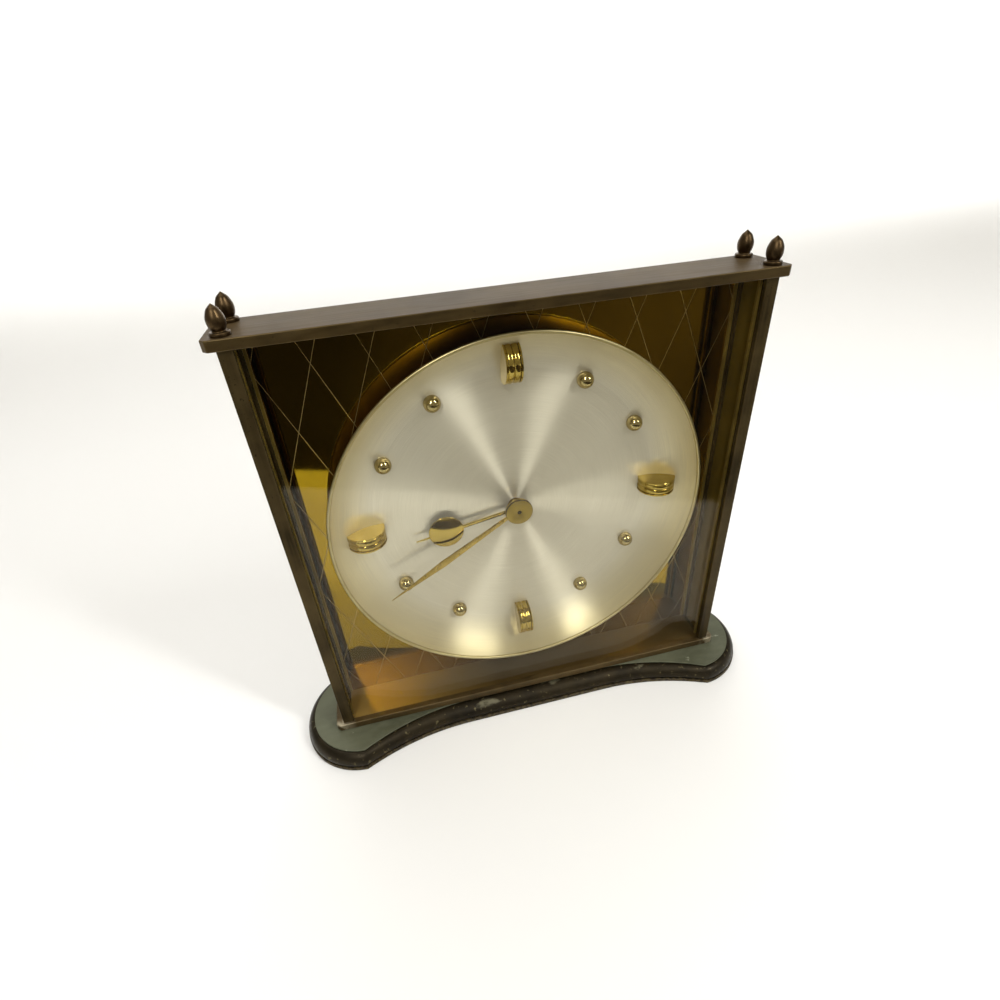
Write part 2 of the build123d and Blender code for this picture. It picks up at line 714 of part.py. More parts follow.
def roller():
    """A turned roller along X with two ribs between its flanged ends."""
    half_l = ROLLER_L / 2
    floor_r = ROLLER_R - ROLLER_GROOVE
    inner = half_l - ROLLER_EDGE
    edges = [Line((-half_l, 0), (half_l, 0))]
    for side in (-1, 1):
        edges += [
            Line((side * half_l, 0), (side * half_l, ROLLER_R)),
            Line((side * half_l, ROLLER_R), (side * inner, ROLLER_R)),
            Line((side * inner, ROLLER_R), (side * inner, floor_r)),
            ThreePointArc((side * inner, floor_r), (side * inner / 2, ROLLER_R), (0, floor_r)),
        ]
    return revolve(make_face(edges), Axis.X)


def hour_rollers():
    """Ribbed half rollers at the quarters; their long pins hold the dial on its carrier."""
    behind = dish_space()
    turned = roller()
    rollers = []
    for angle in ROLLER_ANGLES:
        x, z = mark_spot(ROLLER_REACH, angle)
        laid = Pos(x, FACE_Y - ROLLER_RISE + ROLLER_R, DIAL_Z + z) * Rot(0, angle, 0) * turned
        rollers.append(laid - behind + rod(MARK_PIN_R, FACE_Y - BALL_RISE, FLOOR_REAR, (x, z)))
    return Compound(children=rollers)


def hand_turn(angle):
    """Turns a hand drawn along the right to its angle clockwise from the top."""
    return FULL_TURN / 4 - angle


def minute_hand():
    """Long kite-shaped hand on a round boss, bent forwards beside the boss to pass over the rollers."""
    widest = MINUTE_L * MINUTE_WIDEST_SHARE
    blade = make_face(
        Polyline(
            (0, -MINUTE_ROOT_W),
            (widest, -MINUTE_HALF_W),
            (MINUTE_L, 0),
            (widest, MINUTE_HALF_W),
            (0, MINUTE_ROOT_W),
            close=True,
        )
    )
    turn = hand_turn(MINUTE_ANGLE)
    bent = facing(0, MINUTE_REAR, DIAL_Z) * Rot(0, 0, turn) * Pos(MINUTE_BEND_X, 0) * Rot(0, -MINUTE_BEND, 0)
    body = extrude(bent * blade, amount=HAND_T)
    root = Pos(MINUTE_BEND_X / 2, 0) * Rectangle(MINUTE_BEND_X, 2 * MINUTE_ROOT_W)
    body += slab(root, MINUTE_FRONT, MINUTE_REAR, CENTRE, turn)
    body += rod(HUB_R, MINUTE_FRONT, MINUTE_FRONT + HUB_BOSS_T)
    return body - bore(CANNON_R, MINUTE_FRONT, MINUTE_REAR)


def hand_nut():
    """Round cap that closes the hub, with a small turned hole in its middle."""
    nut = rod(HUB_R, MINUTE_FRONT - NUT_T, MINUTE_FRONT)
    nut = chamfer(nut.edges().group_by(Axis.Y)[0], NUT_EDGE)
    return nut - rod(NUT_HOLE_R, MINUTE_FRONT - NUT_T - OVERRUN, MINUTE_FRONT - NUT_T + NUT_HOLE_DEEP)


def hour_hand():
    """Short needle that carries a domed disc short of its tip."""
    needle = make_face(
        Polyline(
            (0, -HOUR_HALF_W),
            (HOUR_DISC_X, -HOUR_HALF_W),
            (HOUR_L, -HOUR_TIP_W),
            (HOUR_L, HOUR_TIP_W),
            (HOUR_DISC_X, HOUR_HALF_W),
            (0, HOUR_HALF_W),
            close=True,
        )
    )
    turn = hand_turn(HOUR_ANGLE)
    disc_spot = polar(HOUR_DISC_X, turn)
    disc = rod(HOUR_DISC_R, HOUR_REAR - HOUR_DISC_T, HOUR_REAR, disc_spot)
    disc = fillet(disc.edges().group_by(Axis.Y)[0], HOUR_DISC_EDGE)
    body = slab(needle, HOUR_FRONT, HOUR_REAR, CENTRE, turn) + disc
    body += rod(HOUR_BOSS_R, HOUR_FRONT, HOUR_REAR)
    return body - bore(HOUR_PIPE_R, HOUR_FRONT, HOUR_REAR)


def dial_carrier():
    """Shallow pan: its flange lies on the back plate, its floor backs the dial and carries the works."""
    hole_r = HOUR_PIPE_R + PIPE_HOLE_GAP
    profile = Polyline(
        (hole_r, DIAL_REAR),
        (CARRIER_STEP_R, DIAL_REAR),
        (CARRIER_STEP_R, BACK_REAR),
        (CARRIER_R, BACK_REAR),
        (CARRIER_R, BACK_REAR + CARRIER_T),
        (CARRIER_STEP_R + CARRIER_T, BACK_REAR + CARRIER_T),
        (CARRIER_STEP_R + CARRIER_T, FLOOR_REAR),
        (hole_r, FLOOR_REAR),
        close=True,
    )
    body = spin(make_face(profile))
    for spot in carrier_spots() + drum_spots():
        body -= bore(SMALL_SCREW_R + FIT_GAP, BACK_REAR, FLOOR_REAR, spot)
    pin_r = MARK_PIN_R + FIT_GAP
    return body - mark_pins(pin_r, BACK_REAR, FLOOR_REAR + OVERRUN, ROLLER_REACH, ROLLER_ANGLES)


def carrier_screws():
    """Screws of the carrier, in the back plate."""
    head_front = BACK_REAR + CARRIER_T
    return Compound(children=[screw(CARRIER_T + BACK_T, head_front, spot) for spot in carrier_spots()])


def drum_screws():
    """Screws of the drum's flange, in the carrier."""
    head_front = FLOOR_REAR + DRUM_T
    return Compound(children=[screw(CARRIER_T + DRUM_T, head_front, spot) for spot in drum_spots()])


def work_drum():
    """Spun dust cover round the works, on a flange."""
    profile = Polyline(
        (DRUM_R - DRUM_T, FLOOR_REAR),
        (DRUM_FLANGE_R, FLOOR_REAR),
        (DRUM_FLANGE_R, FLOOR_REAR + DRUM_T),
        (DRUM_R, FLOOR_REAR + DRUM_T),
        (DRUM_R, DRUM_REAR),
        (DRUM_R - DRUM_T, DRUM_REAR),
        close=True,
    )
    body = spin(make_face(profile))
    return body - [bore(SMALL_SCREW_R + FIT_GAP, FLOOR_REAR, FLOOR_REAR, spot) for spot in drum_spots()]


def rear_cover():
    """Push-on cover of the drum, with holes for the key, the knob and the regulator's pin."""
    skirt_r = DRUM_R - DRUM_T - FIT_GAP
    lid = rod(DRUM_R, DRUM_REAR, COVER_REAR)
    lid = chamfer(lid.edges().group_by(Axis.Y)[-1], COVER_EDGE)
    lid += tube(skirt_r, skirt_r - DRUM_T, DRUM_REAR - COVER_SKIRT, DRUM_REAR)
    lid -= bore(BARREL_ARBOR_R + COVER_HOLE_GAP, DRUM_REAR, COVER_REAR, BARREL_SPOT)
    lid -= bore(SET_ARBOR_R + COVER_HOLE_GAP, DRUM_REAR, COVER_REAR, SET_SPOT)
    slot_arc = CenterArc((0, 0), REGULATOR_TAIL, REGULATOR_WAY - REGULATOR_SWING, 2 * REGULATOR_SWING)
    slot = SlotArc(slot_arc, 2 * (REGULATOR_PIN_R + REGULATOR_SLOT_GAP))
    return lid - slab(slot, DRUM_REAR - OVERRUN, COVER_REAR + OVERRUN, BALANCE_SPOT)


def front_work_plate():
    """Front plate of the works, with the fixed stud of the minute wheel."""
    plate = rod(WORK_PLATE_R, FRONT_PLATE_FRONT, FRONT_PLATE_REAR)
    for radius, spot in (
        (CENTRE_ARBOR_R, CENTRE),
        (BARREL_ARBOR_R, BARREL_SPOT),
        (PIVOT_R, THIRD_SPOT),
        (SET_ARBOR_R, SET_SPOT),
    ):
        plate -= bore(radius + PIVOT_GAP, FRONT_PLATE_FRONT, FRONT_PLATE_REAR, spot)
    return plate + rod(STUD_WHEEL_R, HOUR_WHEEL_FRONT - PINION_OVER, FRONT_PLATE_FRONT, MINUTE_SPOT)


def rear_work_plate():
    """Rear plate of the works, with the click's fixed pin."""
    plate = rod(WORK_PLATE_R, REAR_PLATE_FRONT, REAR_PLATE_REAR)
    for radius, spot in (
        (PIVOT_R, CENTRE),
        (BARREL_ARBOR_R, BARREL_SPOT),
        (PIVOT_R, THIRD_SPOT),
        (SET_ARBOR_R, SET_SPOT),
    ):
        plate -= bore(radius + PIVOT_GAP, REAR_PLATE_FRONT, REAR_PLATE_REAR, spot)
    for spot in PILLAR_SPOTS:
        plate -= bore(SMALL_SCREW_R + FIT_GAP, REAR_PLATE_FRONT, REAR_PLATE_REAR, spot)
    return plate + rod(CLICK_PIN_R, RATCHET_FRONT, REAR_PLATE_FRONT, CLICK_SPOT)


def work_feet():
    """Feet that stand the front plate off the carrier."""
    return Compound(children=[rod(PILLAR_R, FLOOR_REAR, FRONT_PLATE_FRONT, spot) for spot in PILLAR_SPOTS])


def work_pillars():
    """Pillars between the two plates, tapped at the back."""
    pillars = []
    for spot in PILLAR_SPOTS:
        hole_front = REAR_PLATE_FRONT - PILLAR_SCREW_L
        hole = rod(SMALL_SCREW_R + FIT_GAP, hole_front, REAR_PLATE_FRONT + OVERRUN, spot)
        pillars.append(rod(PILLAR_R, FRONT_PLATE_REAR, REAR_PLATE_FRONT, spot) - hole)
    return Compound(children=pillars)


def pillar_screws():
    """Screws that hold the rear plate to the pillars."""
    length = WORK_PLATE_T + PILLAR_SCREW_L - FIT_GAP
    return Compound(children=[screw(length, REAR_PLATE_REAR, spot) for spot in PILLAR_SPOTS])


def centre_arbor():
    """Arbor that turns once an hour, with the pinion that the barrel drives."""
    body = rod(CENTRE_ARBOR_R, MINUTE_FRONT, REAR_PLATE_FRONT - END_SHAKE)
    body += rod(PIVOT_R, REAR_PLATE_FRONT - END_SHAKE, REAR_PLATE_REAR)
    return body + toothed(
        CENTRE_PINION_TEETH,
        BARREL_MODULE,
        BARREL_FRONT - PINION_OVER,
        BARREL_FRONT + BARREL_RIM_T + PINION_OVER,
        CENTRE,
        BARREL_WAY,
    )


def centre_wheel():
    """Wheel on the centre arbor that drives the third pinion."""
    wheel = spoked(CENTRE_TEETH, TRAIN_MODULE, CENTRE_WHEEL_FRONT, CENTRE_WHEEL_REAR, CENTRE, THIRD_WAY)
    return wheel - bore(CENTRE_ARBOR_R, CENTRE_WHEEL_FRONT, CENTRE_WHEEL_REAR)


def cannon_pinion():
    """Pipe that slips on the centre arbor, carries the minute hand and drives the minute wheel."""
    front = MINUTE_WHEEL_FRONT - PINION_OVER
    rear = MINUTE_WHEEL_REAR + PINION_OVER
    body = rod(CANNON_R, MINUTE_FRONT, rear)
    body += toothed(CANNON_TEETH, MOTION_MODULE, front, rear, CENTRE, MINUTE_WAY)
    return body - bore(CENTRE_ARBOR_R, MINUTE_FRONT, rear)


def minute_wheel_turn():
    """Turn of the minute wheel that meshes it with the cannon pinion."""
    return meshed_turn(MINUTE_WAY, CANNON_TEETH, MINUTE_TEETH, MINUTE_WAY)


def minute_wheel():
    """Wheel and pinion on the stud of the front plate."""
    wheel = toothed(
        MINUTE_TEETH, MOTION_MODULE, MINUTE_WHEEL_FRONT, MINUTE_WHEEL_REAR, MINUTE_SPOT, minute_wheel_turn()
    )
    wheel += toothed(
        MINUTE_PINION_TEETH, HOUR_MODULE, HOUR_WHEEL_FRONT, MINUTE_WHEEL_FRONT, MINUTE_SPOT, MINUTE_WAY
    )
    return wheel - bore(STUD_WHEEL_R + PIVOT_GAP, HOUR_WHEEL_FRONT, MINUTE_WHEEL_REAR, MINUTE_SPOT)


def hour_wheel():
    """Wheel and pipe that turn on the cannon pinion and carry the hour hand."""
    turn = meshed_turn(MINUTE_WAY, MINUTE_PINION_TEETH, HOUR_TEETH, MINUTE_WAY + HALF_TURN)
    wheel = toothed(HOUR_TEETH, HOUR_MODULE, HOUR_WHEEL_FRONT, HOUR_WHEEL_REAR, CENTRE, turn)
    wheel += rod(HOUR_PIPE_R, HOUR_FRONT, HOUR_WHEEL_FRONT)
    return wheel - bore(CANNON_R + PIVOT_GAP, HOUR_FRONT, HOUR_WHEEL_REAR)


def barrel():
    """Mainspring barrel: a cup with a toothed rim at its front."""
    turn = meshed_turn(BARREL_WAY, CENTRE_PINION_TEETH, BARREL_TEETH, BARREL_WAY)
    rim_rear = BARREL_FRONT + BARREL_RIM_T
    body = toothed(BARREL_TEETH, BARREL_MODULE, BARREL_FRONT, rim_rear, BARREL_SPOT, turn)
    body += rod(BARREL_DRUM_R, BARREL_FRONT, BARREL_REAR, BARREL_SPOT)
    body -= rod(BARREL_DRUM_R - BARREL_WALL, BARREL_FRONT + BARREL_WALL, BARREL_REAR + OVERRUN, BARREL_SPOT)
    return body - bore(BARREL_ARBOR_R + PIVOT_GAP, BARREL_FRONT, BARREL_REAR, BARREL_SPOT)


def barrel_cover():
    """Disc snapped into the open end of the barrel."""
    outer = BARREL_DRUM_R - BARREL_WALL
    inner = BARREL_ARBOR_R + PIVOT_GAP
    return tube(outer, inner, BARREL_REAR - BARREL_WALL, BARREL_REAR, BARREL_SPOT)


def coil(inner_r, outer_r, turns, thickness):
    """A flat spiral strip made of half circles that grow by one even step."""
    halves = 2 * turns
    step = (outer_r - thickness - inner_r) / halves
    inner_edges = []
    outer_edges = []
    x = inner_r
    for half in range(halves):
        side = 1 if half % 2 == 0 else -1
        radius = inner_r + (half + 1 / 2) * step
        middle = x - side * radius
        over = side * radius
        end = middle - side * radius
        grown = radius + thickness
        inner_edges.append(ThreePointArc((x, 0), (middle, over), (end, 0)))
        outer_edges.append(
            ThreePointArc(
                (x + side * thickness, 0), (middle, over + side * thickness), (middle - side * grown, 0)
            )
        )
        x = end
    start = Line((inner_r, 0), (inner_r + thickness, 0))
    finish = Line((x, 0), (x + math.copysign(thickness, x), 0))
    return make_face(inner_edges + outer_edges + [start, finish])


def mainspring():
    """Coiled mainspring between the arbor's core and the barrel's wall."""
    outer = BARREL_DRUM_R - BARREL_WALL - SPRING_GAP
    spiral = coil(BARREL_CORE_R + SPRING_GAP, outer, SPRING_TURNS, SPRING_T)
    return slab(spiral, SPRING_FRONT, SPRING_REAR, BARREL_SPOT)


def barrel_arbor():
    """Winding arbor with the core that the spring winds on and a square end for the key."""
    round_rear = COVER_REAR + KEY_GAP
    body = rod(BARREL_ARBOR_R, FRONT_PLATE_FRONT, round_rear, BARREL_SPOT)
    body += rod(BARREL_CORE_R, SPRING_FRONT, SPRING_REAR, BARREL_SPOT)
    return body + slab(Rectangle(ARBOR_SQUARE, ARBOR_SQUARE), round_rear, round_rear + ARBOR_OUT, BARREL_SPOT)


def ratchet_wheel():
    """Saw-toothed wheel fixed on the winding arbor."""
    points = []
    pitch = FULL_TURN / RATCHET_TEETH
    for tooth in range(RATCHET_TEETH):
        points.append(polar(RATCHET_R - RATCHET_TOOTH_H, tooth * pitch))
        points.append(polar(RATCHET_R, tooth * pitch))
    body = slab(make_face(Polyline(*points, close=True)), RATCHET_FRONT, RATCHET_REAR, BARREL_SPOT)
    return body - bore(BARREL_ARBOR_R, RATCHET_FRONT, RATCHET_REAR, BARREL_SPOT)


def click():
    """Pawl on its pin, its nose leaning in to the tips of the ratchet."""
    nose_spot = away(BARREL_SPOT, RATCHET_R + CLICK_GAP, CLICK_WAY + CLICK_LEAN)
    run_x = nose_spot[0] - CLICK_SPOT[0]
    run_z = nose_spot[1] - CLICK_SPOT[1]
    reach = math.hypot(run_x, run_z)
    turn = math.degrees(math.atan2(run_z, run_x))
    arm = make_face(Polyline((0, 0), (reach, 0), (reach, -CLICK_NOSE_W), (0, -CLICK_R), close=True))
    body = rod(CLICK_R, RATCHET_FRONT, RATCHET_REAR, CLICK_SPOT)
    body += slab(arm, RATCHET_FRONT, RATCHET_REAR, CLICK_SPOT, turn)
    return body - bore(CLICK_PIN_R + PIVOT_GAP, RATCHET_FRONT, RATCHET_REAR, CLICK_SPOT)


def winding_key():
    """Butterfly key on the square of the winding arbor."""
    front = COVER_REAR + KEY_GAP
    rear = front + KEY_TUBE_L
    body = rod(KEY_TUBE_R, front, rear, BARREL_SPOT)
    wing = Circle(KEY_WING_R) - Circle(KEY_WING_HOLE_R)
    leaves = [Pos(side * KEY_WING_OUT, rear) * wing for side in (-1, 1)]
    leaves.append(Pos(0, rear - KEY_TUBE_R / 2) * Rectangle(2 * KEY_TUBE_R, KEY_TUBE_R))
    plan = Sketch() + leaves
    low = DIAL_Z + BARREL_SPOT[1] - KEY_WING_T / 2
    body += extrude(Pos(BARREL_SPOT[0], 0, low) * plan, amount=KEY_WING_T)
    square = ARBOR_SQUARE + 2 * SQUARE_GAP
    hole_rear = front + ARBOR_OUT + SQUARE_GAP
    return body - slab(Rectangle(square, square), front - OVERRUN, hole_rear, BARREL_SPOT)


def third_wheel():
    """Third wheel with its pinion and arbor."""
    turn = meshed_turn(THIRD_WAY, CENTRE_TEETH, THIRD_PINION_TEETH, THIRD_WAY)
    body = spoked(THIRD_TEETH, THIRD_MODULE, RATCHET_FRONT, RATCHET_FRONT + WHEEL_T, THIRD_SPOT, turn)
    body += toothed(
        THIRD_PINION_TEETH, TRAIN_MODULE, CENTRE_WHEEL_FRONT - PINION_OVER, RATCHET_FRONT, THIRD_SPOT, turn
    )
    body += rod(THIRD_ARBOR_R, FRONT_PLATE_REAR + END_SHAKE, REAR_PLATE_FRONT - END_SHAKE, THIRD_SPOT)
    return body + rod(PIVOT_R, FRONT_PLATE_FRONT, REAR_PLATE_REAR, THIRD_SPOT)


def set_arbor():
    """Setting arbor with the pinion that turns the minute wheel."""
    turn = meshed_turn(minute_wheel_turn(), MINUTE_TEETH, CANNON_TEETH, SET_WAY)
    front = MINUTE_WHEEL_FRONT - PINION_OVER
    rear = MINUTE_WHEEL_REAR + PINION_OVER
    body = toothed(CANNON_TEETH, MOTION_MODULE, front, rear, SET_SPOT, turn)
    return body + rod(SET_ARBOR_R, front, COVER_REAR + KEY_GAP + KNOB_L / 2, SET_SPOT)


def set_knob():
    """Ribbed knob pressed on the setting arbor."""
    front = COVER_REAR + KEY_GAP
    pitch = FULL_TURN / KNOB_RIBS
    points = []
    for rib in range(KNOB_RIBS):
        points.append(polar(KNOB_R - KNOB_RIB_H, rib * pitch))
        points.append(polar(KNOB_R, (rib + 1 / 2) * pitch))
    knob = slab(make_face(Polyline(*points, close=True)), front, front + KNOB_L, SET_SPOT)
    return knob - rod(SET_ARBOR_R, front - OVERRUN, front + KNOB_L / 2, SET_SPOT)


def escapement_platform():
    """Sealed platform of the escapement on the rear plate, with the lower jewel of the balance."""
    body = rod(PLATFORM_R, REAR_PLATE_REAR, PLATFORM_REAR, BALANCE_SPOT)
    return body - rod(STAFF_R + PIVOT_GAP, PLATFORM_REAR - BALANCE_UP, PLATFORM_REAR + OVERRUN, BALANCE_SPOT)


def balance_cock():
    """Bracket over the balance, with the regulator's jewel setting and the stud of the balance spring."""
    body = rod(COCK_FOOT_R, REAR_PLATE_REAR, COCK_REAR, COCK_FOOT_SPOT)
    reach = PLATFORM_R + COCK_FOOT_R + HEAD_GAP
    arm = Pos(reach / 2, 0) * Rectangle(reach, COCK_W) + Circle(COCK_W / 2)
    body += slab(arm, COCK_FRONT, COCK_REAR, BALANCE_SPOT, COCK_WAY)
    body += rod(JEWEL_R, COCK_REAR, COCK_REAR + REGULATOR_T, BALANCE_SPOT)
    stud_spot = away(BALANCE_SPOT, HAIRSPRING_R + HAIRSPRING_W, COCK_WAY)
    body += rod(HAIRSPRING_W, HAIRSPRING_FRONT, COCK_FRONT, stud_spot)
    return body - bore(STAFF_R + PIVOT_GAP, COCK_FRONT, COCK_REAR, BALANCE_SPOT)


def balance_wheel():
    """Balance: a rim on two arms, with its staff."""
    rim = Circle(BALANCE_R) - Circle(BALANCE_R - BALANCE_RIM)
    arms = Rectangle(2 * BALANCE_R - BALANCE_RIM, 2 * BALANCE_RIM)
    body = slab(rim + arms, BALANCE_FRONT, BALANCE_REAR, BALANCE_SPOT)
    return body + rod(STAFF_R, PLATFORM_REAR - BALANCE_UP / 2, COCK_REAR, BALANCE_SPOT)


def balance_spring():
    """Fine spiral spring between the balance and its cock."""
    spiral = coil(2 * STAFF_R, HAIRSPRING_R, HAIRSPRING_TURNS, HAIRSPRING_T)
    return slab(spiral, HAIRSPRING_FRONT, HAIRSPRING_FRONT + HAIRSPRING_W, BALANCE_SPOT, COCK_WAY)


def regulator_lever():
    """Lever that turns on the cock's jewel setting, with a pin through the cover's slot."""
    front = COCK_REAR
    rear = COCK_REAR + REGULATOR_T
    tail = Pos(REGULATOR_TAIL / 2, 0) * Rectangle(REGULATOR_TAIL, REGULATOR_W)
    plan = Circle(REGULATOR_R) + tail + Pos(REGULATOR_TAIL, 0) * Circle(REGULATOR_W / 2)
    body = slab(plan, front, rear, BALANCE_SPOT, REGULATOR_WAY)
    body -= bore(JEWEL_R + PIVOT_GAP, front, rear, BALANCE_SPOT)
    return body + rod(REGULATOR_PIN_R, rear, COVER_REAR + REGULATOR_PIN_OUT, REGULATOR_PIN_SPOT)


def pieces():
    """Every piece of the clock by name."""
    made = {
        "base_plate": base_plate(),
        "base_panel": base_panel(),
        "base_screws": base_screws(),
        "bottom_plate": case_plate(BOTTOM_OVER_X, BOTTOM_OVER_Y, CASE_FOOT),
        "top_plate": case_plate(TOP_OVER_X, TOP_OVER_Y, POST_TOP),
        "front_glass": front_glass(),
        "glass_beads": pane_beads(GLASS_REAR),
        "back_beads": pane_beads(BACK_FRONT - PANE_BEAD),
        "side_panel_left": side_panel(-1),
        "side_panel_right": side_panel(1),
        "back_plate": back_plate(),
        "dial": dial(),
        "hour_balls": hour_balls(),
        "hour_rollers": hour_rollers(),
        "dial_carrier": dial_carrier(),
        "carrier_screws": carrier_screws(),
        "drum_screws": drum_screws(),
        "work_drum": work_drum(),
        "rear_cover": rear_cover(),
        "front_work_plate": front_work_plate(),
        "rear_work_plate": rear_work_plate(),
        "work_feet": work_feet(),
        "work_pillars": work_pillars(),
        "pillar_screws": pillar_screws(),
        "minute_hand": minute_hand(),
        "hand_nut": hand_nut(),
        "cannon_pinion": cannon_pinion(),
        "centre_arbor": centre_arbor(),
        "centre_wheel": centre_wheel(),
        "hour_hand": hour_hand(),
        "hour_wheel": hour_wheel(),
        "minute_wheel": minute_wheel(),
        "barrel": barrel(),
        "barrel_cover": barrel_cover(),
        "mainspring": mainspring(),
        "barrel_arbor": barrel_arbor(),
        "ratchet_wheel": ratchet_wheel(),
        "winding_key": winding_key(),
        "click": click(),
        "third_wheel": third_wheel(),
        "set_arbor": set_arbor(),
        "set_knob": set_knob(),
        "escapement_platform": escapement_platform(),
        "balance_cock": balance_cock(),
        "balance_wheel": balance_wheel(),
        "balance_spring": balance_spring(),
        "regulator_lever": regulator_lever(),
    }
    for name in POST_SIDES:
        made["post_" + name] = post(name)
        made["finial_" + name] = finial(name)
    return made


os.makedirs("parts", exist_ok=True)
for name, shape in pieces().items():
    export_step(shape, "parts/" + name + ".step")
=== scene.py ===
# %% [markdown]
# # A glazed brass mantel clock
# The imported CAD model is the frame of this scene: every solid is already in its true place, in metres, with
# the origin under the middle of the base, X to the right and Y towards the back. This lesson dresses that
# frame. Plates, posts, finials, base, dial and hands are remade as smooth numpy surfaces. The glass, the
# sheets and the works keep their CAD solids, and every surface gets a procedural finish. Shapes are written
# in millimetres and become metres in the mesh.

# %% Load the frame
import json
import math

import bmesh
import bpy
import numpy as np
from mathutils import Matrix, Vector


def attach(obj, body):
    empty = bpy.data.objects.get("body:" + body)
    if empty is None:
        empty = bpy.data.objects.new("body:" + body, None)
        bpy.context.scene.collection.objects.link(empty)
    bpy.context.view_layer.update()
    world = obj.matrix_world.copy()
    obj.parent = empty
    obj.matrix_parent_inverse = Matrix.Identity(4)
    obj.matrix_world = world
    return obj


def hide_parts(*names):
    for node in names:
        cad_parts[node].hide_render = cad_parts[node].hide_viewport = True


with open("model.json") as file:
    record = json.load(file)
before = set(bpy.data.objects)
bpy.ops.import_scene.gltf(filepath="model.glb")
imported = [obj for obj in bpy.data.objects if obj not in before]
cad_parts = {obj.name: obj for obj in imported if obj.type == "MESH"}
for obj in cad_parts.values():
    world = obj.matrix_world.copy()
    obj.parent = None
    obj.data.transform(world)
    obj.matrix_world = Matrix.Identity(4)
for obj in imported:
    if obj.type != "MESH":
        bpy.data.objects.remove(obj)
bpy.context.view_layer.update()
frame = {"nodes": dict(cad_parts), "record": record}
nodes = frame["nodes"]
MM = 0.001

# %% [markdown]
# ## Camera
# A photo taken close up with a wide lens makes the case look wider at the top than at the foot. The lens,
# place and turn of the camera are worked out so that straight, upright posts give just that picture. The
# plain film curve keeps each finish at the colour it is given.

# %% Camera
# Place in millimetres, then the degrees of tilt up from straight down, of roll and of turn about Z
CAMERA_AT = (-46.16, -179.35, 227.37)
TILT, ROLL, TURN = 56.702, 3.955, -13.199
FOCAL_PIXELS, IMAGE_PIXELS, SENSOR = 554.61, 1000, 36.0
SHIFT_X, SHIFT_Y = 0.00982, 0.00358
lens = bpy.data.cameras.new("photo_camera")
lens.sensor_width = SENSOR
lens.lens = FOCAL_PIXELS / IMAGE_PIXELS * SENSOR
lens.shift_x = SHIFT_X
lens.shift_y = SHIFT_Y
lens.clip_start = 5 * MM
camera = bpy.data.objects.new("photo_camera", lens)
camera.location = Vector(CAMERA_AT) * MM
camera.rotation_euler = [math.radians(angle) for angle in (TILT, ROLL, TURN)]
bpy.context.collection.objects.link(camera)
bpy.context.scene.camera = camera
bpy.context.scene.view_settings.view_transform = "Standard"
print("camera at", [round(v, 4) for v in camera.location], "lens", round(lens.lens, 2))

# %% [markdown]
# ## How finishes are written
# A finish is a small network of nodes on Object coordinates, so its grain has a true size in millimetres.
# One function adds any node. The others are patterns made of several nodes, and a colour is built like
# paint: a ground with layers over it, each laid on by a share between 0 and 1.


# %% One function for all nodes
def linear(hexcode):
    """Linear light of an sRGB hex colour, with full alpha."""
    value = np.array([int(hexcode[k : k + 2], 16) for k in (0, 2, 4)]) / 255
    light = np.where(value <= 0.04045, value / 12.92, ((value + 0.055) / 1.055) ** 2.4)
    return (*light.tolist(), 1.0)


def add(tree, kind, inputs, out=0, **settings):
    """Adds one node and gives one of its outputs. Inputs are sockets by name or number, as links, numbers
    or hex colours; settings are the node's properties. A shader node's kind is written without its
    prefix."""
    shader_kind = "ShaderNode" + kind
    made = tree.nodes.new(shader_kind if hasattr(bpy.types, shader_kind) else kind)
    for key, value in settings.items():
        setattr(made, key, value)
    for key, value in inputs.items():
        if isinstance(value, bpy.types.NodeSocket):
            tree.links.new(value, made.inputs[key])
        else:
            made.inputs[key].default_value = linear(value) if isinstance(value, str) else value
    return made.outputs[out] if len(made.outputs) else None


def new_finish(name):
    """A material with an empty network: gives it, its tree and the Object coordinates in metres."""
    material = bpy.data.materials.new(name)
    material.use_nodes = True
    tree = material.node_tree
    tree.nodes.clear()
    return material, tree, add(tree, "TexCoord", {}, "Object")


print("mid grey in linear light", round(linear("808080")[0], 3))


# %% Patterns
def grain(tree, place, size_mm, stretch=(1, 1, 1), detail=4.0):
    """Cloudy noise with features about size_mm wide, drawn out along an axis where stretch is small."""
    moved = add(tree, "Mapping", {"Vector": place, "Scale": stretch})
    noise = {"Vector": moved, "Scale": 1 / (size_mm * MM), "Detail": detail, "Roughness": 0.55}
    return add(tree, "TexNoise", noise, "Fac")


def patches(tree, place, size_mm, low=0.35, high=0.68, stretch=(1, 1, 1), detail=4.0):
    """Share that rises from 0 to 1 as such noise goes from low to high: wide bounds give soft clouds and
    close ones crisp patches."""
    return add(tree, "MapRange", {0: grain(tree, place, size_mm, stretch, detail), 1: low, 2: high})


def edges_of(tree, radius_mm):
    """Share that rises to 1 along worn edges, where a rounded normal leaves the true one."""
    rounded = add(tree, "Bevel", {"Radius": radius_mm * MM}, samples=6)
    true = add(tree, "NewGeometry", {}, "Normal")
    dot = add(tree, "VectorMath", {0: rounded, 1: true}, "Value", operation="DOT_PRODUCT")
    off = add(tree, "Math", {0: 1.0, 1: dot}, operation="SUBTRACT")
    return add(tree, "MapRange", {0: off, 1: 0.02, 2: 0.25})


def layered(tree, ground, layers):
    """Colour of a ground with layers over it: each (share, colour) hides what lies below by its share."""
    for share, colour in layers:
        ground = add(tree, "Mix", {0: share, 6: ground, 7: colour}, 2, data_type="RGBA")
    return ground


print("patterns ready: grain, patches, edges_of, layered")
